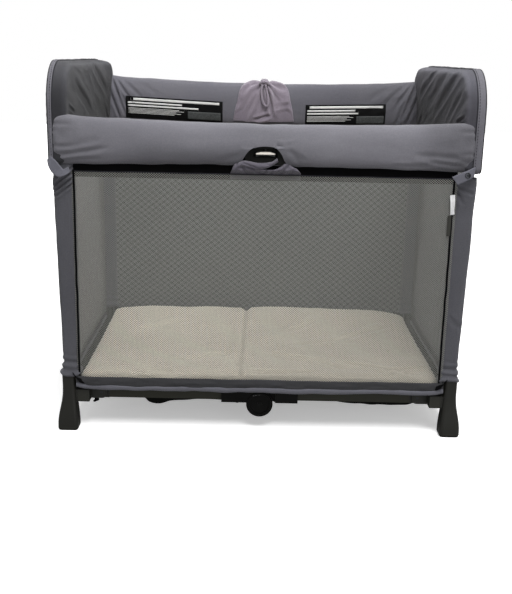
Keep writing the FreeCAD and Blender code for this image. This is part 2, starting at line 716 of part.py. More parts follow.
def rail_cover(side, facing, name, rise):
    """Padded cover half: a hollow sleeve around the rail, cut away at the hub's grip."""
    part = new_body("rail_cover_" + name)
    low, high, wall = dims.cover_low + rise, dims.cover_high + rise, dims.cover_wall
    outer, inner = dims.half_depth, dims.cover_back
    slab(part, "x", dims.cover_start * side, dims.cover_end * side,
         rounded_rect(outer * facing, inner * facing, low, high, dims.cover_round),
         rounded_rect((outer - wall) * facing, (inner + wall - dims.cover_thin) * facing,
                      low + wall, high - wall, dims.cover_inner_round))
    cut(part, "z", low - PAST, dims.cutout_high + rise,
        rect(0.0, dims.cutout_half * side,
             (outer + 2 * PAST) * facing, (inner + dims.cutout_back) * facing))


def top_hub_pin(facing, name, rise):
    slab(new_body("top_hub_pin_" + name), "y",
         dims.top_hub_in * facing, dims.top_hub_out * facing,
         circle(0.0, dims.top_hub_lift + rise, dims.top_pin_rad))


def release_lever(facing, name, rise):
    """A bowed bar with a guide stem that runs up into the hub."""
    part = new_body("release_lever_" + name)
    end, flat = dims.lever_half, dims.lever_flat_half
    low, high = dims.lever_low + rise, dims.lever_high + rise
    end_low, end_high = low - dims.lever_sag_low, high - dims.lever_sag_high
    slab(part, "y", dims.lever_out * facing, dims.lever_in * facing,
         poly((-end, end_low), (-flat, low), (flat, low), (end, end_low),
              (end, end_high), (flat, high), (-flat, high), (-end, end_high)))
    slab(part, "z", high - dims.stem_lap, high + dims.stem_high,
         circle(0.0, dims.stem_line * facing, dims.stem_rad))


def release_spring(facing, name, rise):
    """Coil around the stem, modelled at the origin and placed over the lever."""
    part = new_body("release_spring_" + name)
    wire = dims.spring_wire
    sketch = new_sketch(part, "y", 0.0, circle(dims.spring_rad, wire + dims.spring_start, wire))
    doc.recompute()
    coil = part.newObject("PartDesign::AdditiveHelix", part.Label + "_helix")
    coil.Profile = sketch
    coil.ReferenceAxis = (sketch, ["V_Axis"])
    coil.Mode = 0  # pitch, height and angle
    drive(coil, "Pitch", dims.spring_high / dims.spring_turns)
    drive(coil, "Height", dims.spring_high)
    doc.recompute()
    y, z = dims.stem_line * facing, dims.lever_high + rise + dims.spring_gap
    part.Placement = FreeCAD.Placement(Vector(0, y.value, z.value), FreeCAD.Rotation())
    part.setExpression("Placement.Base.y", y.text)
    part.setExpression("Placement.Base.z", z.text)


def mesh_wall(facing, name, rise):
    box_piece("mesh_wall_" + name, -dims.wall_half, dims.wall_half,
              dims.wall_line * facing, (dims.wall_line + dims.mesh_thick) * facing,
              dims.wall_low, dims.wall_high + rise)


# ---- build and export ----

for side, name in SIDES:
    for build in (end_hoop, feet, foot_soles, bottom_crossbar, base_brackets, top_brackets,
                  pivot_pins, wing_pad, end_mesh, leg_sleeves):
        build(side, name)
corner_tabs()
zip_pull()
for side, name in SIDES:
    for build in (base_rails, base_knuckles, base_hubs, base_decks):
        build(side, name)
base_hub_axle()
for facing, place, rise in RAILS:
    for side, name in SIDES:
        for build in (top_rail, top_knuckle, top_hub, rail_cover):
            build(side, facing, place + "_" + name, rise)
    for build in (top_hub_pin, release_lever, release_spring, mesh_wall):
        build(facing, place, rise)
doc.recompute()

bad = [o.Name for o in doc.Objects if "Invalid" in o.State or "Error" in o.State]
for part in PIECES:
    if part.Shape.isNull() or not part.Shape.isValid() or not part.Shape.Solids:
        bad.append(part.Label)
if bad:
    raise RuntimeError("failed objects: %s" % sorted(set(bad)))
os.makedirs("parts", exist_ok=True)
for part in PIECES:
    part.Shape.exportStep("parts/%s.step" % part.Label)
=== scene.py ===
# A folding cot: two end hoops with padded wings, padded rail covers along the front and the
# back, mesh walls, leg sleeves and a mattress. It stands on z = 0 with its length along X,
# its front towards -Y and its left end towards -X. Lengths are in metres.
import math

import bmesh
import bpy
import numpy as np
from mathutils import Matrix, Vector
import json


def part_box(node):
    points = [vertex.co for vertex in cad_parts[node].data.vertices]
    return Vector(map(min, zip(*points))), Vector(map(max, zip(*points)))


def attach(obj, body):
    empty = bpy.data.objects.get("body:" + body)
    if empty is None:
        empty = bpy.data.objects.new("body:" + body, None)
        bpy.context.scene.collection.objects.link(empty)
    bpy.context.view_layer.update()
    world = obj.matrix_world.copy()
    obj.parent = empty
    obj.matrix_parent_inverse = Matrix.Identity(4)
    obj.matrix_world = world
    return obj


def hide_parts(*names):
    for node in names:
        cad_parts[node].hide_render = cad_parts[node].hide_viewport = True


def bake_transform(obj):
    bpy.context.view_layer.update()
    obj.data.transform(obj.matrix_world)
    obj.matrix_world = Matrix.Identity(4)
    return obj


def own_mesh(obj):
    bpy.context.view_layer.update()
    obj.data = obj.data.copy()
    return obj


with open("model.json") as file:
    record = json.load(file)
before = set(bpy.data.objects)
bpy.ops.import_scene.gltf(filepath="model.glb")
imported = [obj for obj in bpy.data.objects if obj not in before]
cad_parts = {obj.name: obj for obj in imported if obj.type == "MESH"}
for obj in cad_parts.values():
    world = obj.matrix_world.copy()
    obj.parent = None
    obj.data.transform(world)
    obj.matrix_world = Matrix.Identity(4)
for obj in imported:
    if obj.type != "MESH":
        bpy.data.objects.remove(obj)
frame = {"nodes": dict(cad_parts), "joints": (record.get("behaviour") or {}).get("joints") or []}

SIDES = ((-1, "left"), (1, "right"))
FACES = ((-1, "front"), (1, "back"))
END = {-1: "left_end", 1: "right_end"}  # the moving body at each end

# ---------------------------------------------------------------- places from the CAD model
PAD_MIN, PAD_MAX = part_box("wing_pad_right")
X_OUT, Y_OUT = PAD_MAX.x, PAD_MAX.y
PAD_LOW, PAD_TOP = PAD_MIN.z, PAD_MAX.z
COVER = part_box("rail_cover_front_right")
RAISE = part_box("rail_cover_back_right")[1].z - COVER[1].z  # the back rail stands this much higher
COVER_LOW, COVER_HIGH = COVER[0].z, COVER[1].z
COVER_IN, COVER_OUT = -COVER[1].y, -COVER[0].y
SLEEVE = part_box("leg_sleeves_right")
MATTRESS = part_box("mattress_right")
PIVOT = {joint["name"]: joint.get("pos_m") for joint in frame["joints"]}

# ---------------------------------------------------------------- sizes shared by several pieces
SPLIT = 0.352  # |x| where a cover's end piece meets its long middle piece
SEAM = {-1: X_OUT - 0.0145, 1: X_OUT - 0.0220}  # |x| of the wing's inner gusset seam
END_TURN = {-1: 0.019, 1: 0.011}  # radius at which a cover turns down to that seam
COVER_SIDES = 112  # points round a cover
WALL_LOW = 0.131  # lower edge of the mesh
WALL_HALF = 0.4305  # half the length of the front and back mesh
WALL_Y = 0.3098
TAB_Y = -0.3305  # plane of the two front corner tabs


# ---------------------------------------------------------------- numbers and noise
def srgb(*levels):
    parts = [level / 255.0 for level in levels]
    return (*(v / 12.92 if v <= 0.04045 else ((v + 0.055) / 1.055) ** 2.4 for v in parts), 1.0)


def lattice(ix, iy, iz, seed):
    """A fixed random value in -1..1 for each whole-number point."""
    mixed = (ix * 73856093) ^ (iy * 19349663) ^ (iz * 83492791) ^ (seed * 2654435761 & 0x7FFFFFFF)
    mixed = ((mixed ^ (mixed >> 13)) * 1274126177) & 0xFFFFFFFF
    mixed = mixed ^ (mixed >> 16)
    return (mixed & 0xFFFF) / 32767.5 - 1.0


def noise3(x, y, z, seed=0):
    """Smooth value noise in -1..1 for arrays of points. The lattice step is 1."""
    place = np.broadcast_arrays(*(np.asarray(a, float) for a in (x, y, z)))
    cells = [np.floor(a).astype(np.int64) for a in place]
    parts = [a - cell for a, cell in zip(place, cells)]
    blends = [f * f * f * (f * (f * 6 - 15) + 10) for f in parts]
    total = 0.0
    for corner in np.ndindex(2, 2, 2):
        weight = math.prod(b if step else 1 - b for b, step in zip(blends, corner))
        total = total + weight * lattice(*(c + step for c, step in zip(cells, corner)), seed)
    return total


def fbm(x, y, z, seed=0, octaves=2):
    """Layers of noise3, each twice as fine and half as strong as the last."""
    total = 0.0
    for octave in range(octaves):
        k = 2.0**octave
        total = total + noise3(x * k, y * k, z * k, seed + octave * 7) / k
    return total


def ridged(x, y, z, seed=0):
    """Thin raised lines on broad hollows: how a slack cloth creases."""
    return 1.0 - 2.0 * np.abs(noise3(x, y, z, seed))


def smooth(start, end, value):
    t = np.clip((np.asarray(value, float) - start) / (end - start), 0, 1)
    return t * t * (3 - 2 * t)


def bell(value, width):
    return np.exp(-((value / width) ** 2))


def creases(u, v, rows, base=0.0):
    """Adds soft folds to base: grooves with a low ridge on each side, fading at both ends.
    Each row is start u, start v, end u, end v, width, depth."""
    for u0, v0, u1, v1, width, depth in rows:
        du, dv = u1 - u0, v1 - v0
        length = np.hypot(du, dv)
        along = ((u - u0) * du + (v - v0) * dv) / length**2
        off = ((u - u0) * -dv + (v - v0) * du) / length
        fade = smooth(-0.15, 0.2, along) * (1 - smooth(0.8, 1.15, along))
        groove = -bell(off, width) + 0.55 * bell(np.abs(off) - 1.9 * width, width)
        base = base + depth * groove * fade
    return base


# ---------------------------------------------------------------- points and outlines
def points(x, y, z):
    return np.stack(np.broadcast_arrays(x, y, z), -1)


def unit(vectors):
    return vectors / np.maximum(np.linalg.norm(vectors, axis=-1, keepdims=True), 1e-12)


def rounded(angle, power):
    """Two coordinates round a superellipse of half size 1."""
    c, s = np.cos(angle), np.sin(angle)
    return (np.sign(part) * np.abs(part) ** (2 / power) for part in (c, s))


def smooth_curve(stations, per=8):
    """Catmull-Rom through the stations, of any number of columns."""
    p = np.asarray(stations, float)
    out = []
    for i in range(len(p) - 1):
        p0, p1, p2, p3 = p[max(i - 1, 0)], p[i], p[i + 1], p[min(i + 2, len(p) - 1)]
        for k in range(per):
            t = k / per
            square = (2 * p0 - 5 * p1 + 4 * p2 - p3) * t**2
            cube = (3 * p1 - p0 - 3 * p2 + p3) * t**3
            out.append(0.5 * (2 * p1 + (p2 - p0) * t + square + cube))
    out.append(p[-1])
    return np.array(out)


def arc(u, v, radius, start, count, spans):
    """Count points of a quarter turn that is divided into spans, from start degrees."""
    turns = [math.radians(start + 90 * k / spans) for k in range(count)]
    return [(u + radius * math.cos(a), v + radius * math.sin(a)) for a in turns]


def arc_lengths(ring):
    return np.r_[0, np.cumsum(np.hypot(*np.diff(ring, axis=0).T))]


def resample(outline, count):
    """A closed outline at even steps, and the distance along it."""
    ring = np.r_[outline, outline[:1]]
    run = arc_lengths(ring)
    along = np.linspace(0, run[-1], count, endpoint=False)
    return np.stack([np.interp(along, run, ring[:, i]) for i in (0, 1)], -1), along


def outward(outline):
    step = np.roll(outline, -1, 0) - np.roll(outline, 1, 0)
    return unit(np.stack([step[:, 1], -step[:, 0]], -1))


# ---------------------------------------------------------------- mesh building
def add_object(name, data):
    thing = bpy.data.objects.new(name, data)
    bpy.context.scene.collection.objects.link(thing)
    return thing


def shade_smooth(mesh):
    mesh.polygons.foreach_set("use_smooth", [True] * len(mesh.polygons))


def read_points(mesh):
    flat = np.zeros(len(mesh.vertices) * 3)
    mesh.vertices.foreach_get("co", flat)
    return flat.reshape(-1, 3)


def write_points(mesh, place):
    mesh.vertices.foreach_set("co", place.ravel())
    mesh.update()


def face_outward(mesh, change=None):
    """Turns all faces outward, after an optional change to the bmesh."""
    bm = bmesh.new()
    bm.from_mesh(mesh)
    if change:
        bm.verts.ensure_lookup_table()
        change(bm)
    bmesh.ops.recalc_face_normals(bm, faces=bm.faces)
    bm.to_mesh(mesh)
    bm.free()


def grid(name, place, closed_u=False, closed_v=False, uv=None, flip=False, caps=False):
    """A mesh from rows of points, u rows of v points. closed_* joins the last row or column
    to the first. caps closes both ends of u."""
    place = np.asarray(place, float)
    nu, nv = place.shape[:2]
    rows = np.arange(nu if closed_u else nu - 1)
    columns = np.arange(nv if closed_v else nv - 1)
    a, b = np.meshgrid(rows, columns, indexing="ij")
    a2, b2 = (a + 1) % nu, (b + 1) % nv
    quads = np.stack([a * nv + b, a2 * nv + b, a2 * nv + b2, a * nv + b2], -1).reshape(-1, 4)
    if flip:
        quads = quads[:, ::-1]
    faces = quads.tolist()
    verts = place.reshape(-1, 3).tolist()
    if caps:
        for row in (0, nu - 1):
            centre = len(verts)
            verts.append(place[row].mean(0).tolist())
            for j in range(nv):
                face = [row * nv + j, row * nv + (j + 1) % nv, centre]
                faces.append(face[::-1] if row else face)
    mesh = bpy.data.meshes.new(name)
    mesh.from_pydata(verts, [], faces)
    if uv is not None:
        layer = mesh.uv_layers.new(name="UVMap")
        index = np.zeros(len(mesh.loops), np.int32)
        mesh.loops.foreach_get("vertex_index", index)
        flat = np.asarray(uv, float).reshape(-1, 2)
        layer.data.foreach_set("uv", flat[index].astype(np.float32).ravel())
    if (closed_u and closed_v) or caps:
        face_outward(mesh)
    shade_smooth(mesh)
    mesh.update()
    return add_object(name, mesh)


def shell(name, outer, inner):
    """A sleeve with real thickness: outer and inner grids joined at both ends of u."""
    return grid(name, np.concatenate([outer, inner[::-1]], 0), closed_u=True, closed_v=True)


def thick_sheet(name, place, thickness):
    """A cloth sheet with two sides and closed edges, from a grid of mid points."""
    place = np.asarray(place, float)
    normal = unit(np.cross(np.gradient(place, axis=0), np.gradient(place, axis=1)))
    over, under = place + normal * thickness / 2, place - normal * thickness / 2
    thing = grid(name, np.concatenate([over, under[:, ::-1]], 1), closed_v=True)
    nu, half = place.shape[:2]
    nv = 2 * half

    def close_ends(bm):
        for row in (0, nu - 1):
            for j in range(half - 1):
                quad = [bm.verts[row * nv + k] for k in (j, j + 1, nv - 2 - j, nv - 1 - j)]
                bm.faces.new(quad if row == 0 else quad[::-1])

    face_outward(thing.data, close_ends)
    shade_smooth(thing.data)
    return thing


def tube(name, place, radius, sides=12, closed=False, squish=(1.0, 1.0)):
    """A round or flattened cord along a line of points. radius may be an array."""
    p = np.asarray(place, float)
    step = (np.roll(p, -1, 0) - np.roll(p, 1, 0)) if closed else np.gradient(p, axis=0)
    step = unit(step)
    across = [0, 1.0, 0] if abs(step[:, 1]).mean() < 0.7 else [1.0, 0, 0]
    first = unit(np.cross(step, across))
    second = np.cross(step, first)
    angle = np.linspace(0, 2 * math.pi, sides, endpoint=False)[None, :, None]
    radius = np.broadcast_to(np.asarray(radius, float), (len(p),))[:, None, None]
    ring = squish[0] * np.cos(angle) * first[:, None] + squish[1] * np.sin(angle) * second[:, None]
    return grid(name, p[:, None] + radius * ring, closed_u=closed, closed_v=True, caps=not closed)


def ribbon(name, rows, thickness, per=8, wrinkle=0.0, seed=1):
    """A flat strap. Each row is its centre x, y, z and half its width as a vector x, y, z."""
    curve = smooth_curve(rows, per)
    across = np.linspace(-1, 1, 9)[None, :, None]
    place = curve[:, None, :3] + across * curve[:, None, 3:]
    if wrinkle:
        place[..., 1] += wrinkle * fbm(place[..., 0] * 90, place[..., 2] * 90, 1.0, seed)
    return thick_sheet(name, place, thickness)


def join(name, things):
    """Several meshes as one piece."""
    bm = bmesh.new()
    for thing in things:
        bm.from_mesh(thing.data)
    mesh = bpy.data.meshes.new(name)
    bm.to_mesh(mesh)
    bm.free()
    shade_smooth(mesh)
    for thing in things:
        old = thing.data
        bpy.data.objects.remove(thing)
        bpy.data.meshes.remove(old)
    return add_object(name, mesh)


def apply_modifiers(thing):
    bpy.context.view_layer.update()
    graph = bpy.context.evaluated_depsgraph_get()
    mesh = bpy.data.meshes.new_from_object(thing.evaluated_get(graph))
    thing.modifiers.clear()
    old = thing.data
    thing.data = mesh
    mesh.name = thing.name
    bpy.data.meshes.remove(old)


def cut(thing, cutter):
    boolean = thing.modifiers.new("cut", "BOOLEAN")
    boolean.object, boolean.operation, boolean.solver = cutter, "DIFFERENCE", "EXACT"
    apply_modifiers(thing)
    bpy.data.objects.remove(cutter)


def prism_y(name, outline, y0, y1):
    """A closed prism along Y from an XZ outline."""
    bm = bmesh.new()
    near = [bm.verts.new((x, y0, z)) for x, z in outline]
    far = [bm.verts.new((x, y1, z)) for x, z in outline]
    bm.faces.new(near)
    bm.faces.new(far[::-1])
    for i in range(len(outline)):
        k = (i + 1) % len(outline)
        bm.faces.new([near[i], near[k], far[k], far[i]])
    bmesh.ops.recalc_face_normals(bm, faces=bm.faces)
    mesh = bpy.data.meshes.new(name)
    bm.to_mesh(mesh)
    bm.free()
    return add_object(name, mesh)


# ---------------------------------------------------------------- shader building
class Shader:
    """A material and short ways to add its nodes. Values may be numbers or sockets."""

    def __init__(self, name):
        self.material = bpy.data.materials.new(name)
        self.material.use_nodes = True
        self.tree = self.material.node_tree
        self.tree.nodes.clear()
        self.out = self.tree.nodes.new("ShaderNodeOutputMaterial")

    def node(self, kind, inputs=None, **props):
        node = self.tree.nodes.new("ShaderNode" + kind)
        for key, value in props.items():
            setattr(node, key, value)
        for key, value in (inputs or {}).items():
            socket = node.inputs[key]
            if isinstance(value, bpy.types.NodeSocket):
                self.tree.links.new(value, socket)
            else:
                socket.default_value = value
        return node

    def math(self, operation, a, b=0.0):
        return self.node("Math", {0: a, 1: b, 2: 0.0}, operation=operation).outputs[0]

    def add(self, total, *terms):
        for term in terms:
            total = self.math("ADD", total, term)
        return total

    def mul(self, a, b):
        return self.math("MULTIPLY", a, b)

    def drift(self, noise, gain):
        """A noise in 0..1 as a swing about 0."""
        return self.mul(self.math("SUBTRACT", noise, 0.5), gain)

    def ramp(self, value, start, end, low=0.0, high=1.0, kind="LINEAR"):
        inputs = {"Value": value, "From Min": start, "From Max": end, "To Min": low, "To Max": high}
        return self.node("MapRange", inputs, interpolation_type=kind).outputs[0]

    def fade(self, value, start, end, low, high):
        return self.ramp(value, start, end, low, high, "SMOOTHSTEP")

    def edges(self, start, end, low, high):
        """A ramp over hollows and ridges of the surface."""
        return self.ramp(self.node("NewGeometry").outputs["Pointiness"], start, end, low, high)

    def coord(self, kind="Object"):
        return self.node("TexCoord").outputs[kind]

    def axes(self):
        return self.node("SeparateXYZ", {0: self.coord()}).outputs[:3]

    def noise(self, coord, scale, detail=2.0, rough=0.5):
        inputs = {"Vector": coord, "Scale": scale, "Detail": detail, "Roughness": rough}
        return self.node("TexNoise", inputs).outputs["Fac"]

    def stretched(self, coord, scales, detail=2.0, rough=0.5):
        """Noise with its own scale along each axis."""
        return self.noise(self.scaled(coord, scales), 1.0, detail, rough)

    def scaled(self, vector, scales):
        return self.node("VectorMath", {0: vector, 1: scales}, operation="MULTIPLY").outputs[0]

    def weave(self, coord, period):
        """A woven height that works on any plane: products of sines along the axes."""
        wave = self.scaled(coord, (2 * math.pi / period,) * 3)
        wave = self.node("VectorMath", {0: wave}, operation="SINE").outputs[0]
        x, y, z = self.node("SeparateXYZ", {0: wave}).outputs[:3]
        return self.add(self.mul(x, y), self.mul(y, z), self.mul(z, x))

    def colour(self, rgb):
        socket = self.node("RGB").outputs[0]
        socket.default_value = srgb(*rgb)
        return socket

    def tint(self, base, grey):
        """base colour times a grey factor."""
        grey = self.node("CombineXYZ", {0: grey, 1: grey, 2: grey}).outputs[0]
        inputs = {"Fac": 1.0, "Color1": base, "Color2": grey}
        return self.node("MixRGB", inputs, blend_type="MULTIPLY").outputs[0]

    def mix(self, fac, a, b):
        return self.node("MixRGB", {"Fac": fac, "Color1": a, "Color2": b}).outputs[0]

    def bump(self, height, strength, distance, under=None):
        inputs = {"Height": height, "Strength": strength, "Distance": distance}
        if under is not None:
            inputs["Normal"] = under
        return self.node("Bump", inputs).outputs[0]

    def finish(self, colour, rough, inputs):
        inputs = {"Base Color": colour, "Roughness": rough, **inputs}
        surface = self.node("BsdfPrincipled", inputs)
        self.tree.links.new(surface.outputs[0], self.out.inputs[0])
        return self.material


# ---------------------------------------------------------------- kinds of material
def fabric(name, rgb, second=None, vary=0.10, weave=0.0011, rough=0.88, sheen=0.25,
           speck=0.10, wear_and_crease_shade=1.0, spec=0.25, tone=None):
    """Woven polyester: heathered yarn, broad tone drift, ridges rubbed lighter by wear and creases
    darkened as painted shade. tone, when given, multiplies in painted light and shade by place.
    """
    mat = Shader(name)
    coord = mat.coord()
    broad = mat.noise(coord, scale=5.0, detail=4.0, rough=0.55)
    fine = mat.noise(coord, scale=620.0, rough=0.6)
    yarn = mat.stretched(coord, scales=(60.0, 60.0, 900.0))
    heather = mat.noise(coord, scale=300.0, rough=0.75)
    woven = mat.weave(coord, weave)
    # pointiness: ridges rubbed lighter by wear, creases darkened as painted shade
    shade = mat.add(
        1.0, mat.drift(broad, 2 * vary), mat.drift(fine, 2 * speck), mat.drift(yarn, speck),
        mat.mul(woven, 0.05), mat.edges(0.44, 0.56, low=-0.16 * wear_and_crease_shade, high=0.14 * wear_and_crease_shade),
        mat.drift(heather, 3.4 * speck))
    if tone:
        shade = mat.mul(shade, tone(mat))
    if second:
        colour = mat.mix(mat.ramp(broad, 0.35, 0.65), srgb(*rgb), srgb(*second))
    else:
        colour = mat.colour(rgb)
    soft = mat.noise(coord, scale=55.0, detail=3.0, rough=0.6)
    normal = mat.bump(soft, strength=0.11, distance=0.003)
    threads = mat.add(woven, mat.mul(fine, 1.2))
    normal = mat.bump(threads, strength=0.55, distance=0.00035, under=normal)
    return mat.finish(mat.tint(colour, shade), mat.add(rough, mat.drift(broad, 0.12)), {
        "Sheen Weight": sheen, "Sheen Roughness": 0.45, "Specular IOR Level": spec,
        "Normal": normal})


def net(name, rgb, cover, pitch=0.00575, least=0.0, dark=0.72):
    """Open knitted mesh: diamond holes between yarns, cut out of the sheet. UV is in metres.
    cover is the yarn's share. least closes the holes a little to light and to an eye that
    already looks through another layer. dark is the tone at the yarn's edge."""
    mat = Shader(name)
    u, v, _ = mat.node("SeparateXYZ", {0: mat.coord("UV")}).outputs[:3]
    v = mat.mul(v, 1.21)
    waves = []
    for operation in ("ADD", "SUBTRACT"):
        phase = mat.mul(mat.math(operation, u, v), math.pi / pitch)
        waves.append(mat.math("ABSOLUTE", mat.math("SINE", phase)))
    edge = 0.62 * cover + 0.02
    hole = mat.ramp(mat.mul(*waves), edge - 0.04, edge + 0.04)
    yarn = mat.math("SUBTRACT", 1.0, hole)
    path = mat.node("LightPath").outputs
    direct = mat.mul(path["Is Camera Ray"], mat.math("LESS_THAN", path["Transparent Depth"], 0.5))
    shut = mat.mul(mat.math("SUBTRACT", 1.0, mat.mul(direct, 0.10)), least)
    coord = mat.coord()
    broad = mat.noise(coord, scale=4.0, detail=3.0)
    fine = mat.noise(coord, scale=900.0)
    shade = mat.add(0.92, mat.drift(broad, 0.16), mat.mul(fine, 0.14))
    # the yarn is lit on its crown and dark where the layer behind shows
    shade = mat.mul(shade, mat.ramp(yarn, 0.0, 1.0, low=dark, high=1.05))
    return mat.finish(mat.tint(mat.colour(rgb), shade), 0.75, {
        "Alpha": mat.math("MAXIMUM", yarn, shut), "Specular IOR Level": 0.3,
        "Normal": mat.bump(yarn, strength=0.6, distance=0.0004)})


def moulded(name, rgb, rough=0.42, grain=1500.0, bump=0.25, spec=0.16):
    """Moulded plastic: fine spark texture, faint flow marks, edges rubbed lighter."""
    mat = Shader(name)
    coord = mat.coord()
    broad = mat.noise(coord, scale=12.0, detail=3.0)
    spark = mat.node("TexVoronoi", {"Vector": coord, "Scale": grain}).outputs["Distance"]
    streak = mat.stretched(coord, scales=(700.0, 700.0, 25.0))
    # edges rubbed lighter by wear; nothing is darkened here
    wear_and_crease_shade = mat.edges(0.53, 0.62, low=0.0, high=1.0)
    shade = mat.add(1.0, mat.drift(broad, 0.30), mat.drift(streak, 0.10), mat.mul(wear_and_crease_shade, 0.8))
    return mat.finish(
        mat.tint(mat.colour(rgb), shade), mat.add(rough, mat.drift(broad, 0.16)),
        {"Normal": mat.bump(spark, bump, distance=0.00025), "Specular IOR Level": spec})


def metal(name, rgb, rough=0.3, lines=(8.0, 8.0, 900.0), metallic=1.0):
    """Drawn or brushed metal: fine lines along the draw direction, faint dull patches."""
    mat = Shader(name)
    coord = mat.coord()
    brushed = mat.stretched(coord, lines, detail=3.0, rough=0.6)
    patch = mat.noise(coord, scale=18.0, detail=3.0)
    shade = mat.add(0.93, mat.drift(brushed, 0.22), mat.drift(patch, 0.14))
    return mat.finish(
        mat.tint(mat.colour(rgb), shade), mat.add(rough, mat.drift(patch, 0.18)),
        {"Metallic": metallic, "Normal": mat.bump(brushed, strength=0.12, distance=0.0002)})


def knit(name, rgb, second, flecks, tone=None):
    """Speckled mattress cover: small knitted ribs, mixed yarns and darker flecks."""
    mat = Shader(name)
    coord = mat.coord()
    broad = mat.noise(coord, scale=7.0, detail=4.0, rough=0.6)
    fine = mat.noise(coord, scale=420.0, rough=0.7)
    fleck = mat.ramp(mat.noise(coord, scale=230.0, rough=0.6), 0.60, 0.68)
    ribs = mat.weave(coord, period=0.0026)
    colour = mat.mix(mat.ramp(broad, 0.3, 0.7), srgb(*rgb), srgb(*second))
    colour = mat.mix(mat.mul(fleck, 0.06), colour, srgb(*flecks))
    # pointiness: creases darker as painted shade, ridges lighter as painted light
    shade = mat.add(
        1.0, mat.edges(0.44, 0.56, low=-0.12, high=0.08),
        mat.drift(fine, 0.03), mat.mul(ribs, 0.03))
    # painted light and shade by place, when a tone is given
    if tone:
        shade = mat.mul(shade, tone(mat))
    normal = mat.bump(mat.noise(coord, scale=14.0), strength=0.35, distance=0.010)
    normal = mat.bump(mat.add(ribs, fine), strength=0.22, distance=0.0004, under=normal)
    return mat.finish(mat.tint(colour, shade), 0.92, {
        "Normal": normal, "Sheen Weight": 0.3, "Sheen Roughness": 0.5,
        "Specular IOR Level": 0.2})


def lever_look(name, low, high):
    """Silvered between the heights low and high, black above and below."""
    mat = Shader(name)
    coord = mat.coord()
    z = mat.node("SeparateXYZ", {0: coord}).outputs[2]
    silver = mat.mul(mat.math("GREATER_THAN", z, low), mat.math("LESS_THAN", z, high))
    lines = mat.stretched(coord, scales=(900.0, 20.0, 20.0), detail=3.0, rough=0.6)
    dull = mat.noise(coord, scale=60.0, detail=3.0)
    shade = mat.add(0.86, mat.add(mat.mul(lines, 0.18), mat.mul(dull, 0.10)))
    colour = mat.mix(silver, srgb(14, 14, 13), srgb(238, 232, 222))
    return mat.finish(mat.tint(colour, shade), 0.36, {
        "Metallic": mat.mul(silver, 0.55),
        "Normal": mat.bump(lines, strength=0.12, distance=0.0002)})


# ---------------------------------------------------------------- shade by place
def painted_shade_front(mat):
    """Painted shade on the front cover where it turns away at both ends, the right end most, and low
    down around the middle, more to the left.
    """
    x, _, z = mat.axes()
    ends = mat.mul(mat.fade(x, 0.310, 0.400, 1.0, 0.68), mat.fade(x, -0.46, -0.26, 0.87, 1.0))
    middle = mat.mul(mat.fade(x, -0.36, -0.24, 0.0, 1.0), mat.fade(x, 0.02, 0.14, 1.0, 0.0))
    lower_middle_shade = mat.mul(middle, mat.fade(z, 0.660, 0.694, 0.30, 0.0))
    return mat.mul(ends, mat.math("SUBTRACT", 1.0, lower_middle_shade))


# painted shade on the back cover: darker towards the right end
def painted_shade_back(mat):
    return mat.fade(mat.axes()[0], -0.05, 0.42, 1.0, 0.72)


def painted_light_and_shade_wing(mat):
    """Painted light and shade on the wings: brighter towards the top, darker low down at the back
    and towards the outer side.
    """
    x, y, z = mat.axes()
    low = mat.mul(mat.fade(y, -0.22, 0.15, 0.04, 0.48), mat.fade(z, 0.725, 0.800, 1.0, 0.0))
    rim = mat.fade(mat.math("ABSOLUTE", x), 0.4395, 0.4480, 1.0, 0.80)
    top = mat.fade(z, 0.785, 0.838, 1.0, 1.60)
    return mat.mul(mat.mul(top, mat.math("SUBTRACT", 1.0, low)), rim)


def painted_shade_pad(mat):
    """Painted shade on the mattress: darker to the right, along the fold across the middle and at
    the front.
    """
    x, y, _ = mat.axes()
    side = mat.fade(x, -0.42, 0.30, 1.02, 0.74)
    off = mat.math("SUBTRACT", mat.add(x, 0.043), mat.mul(y, 0.020))
    fold = mat.fade(mat.math("ABSOLUTE", off), 0.0010, 0.0080, 0.86, 1.0)
    return mat.mul(mat.mul(side, fold), mat.fade(y, -0.28, -0.06, 0.88, 1.0))


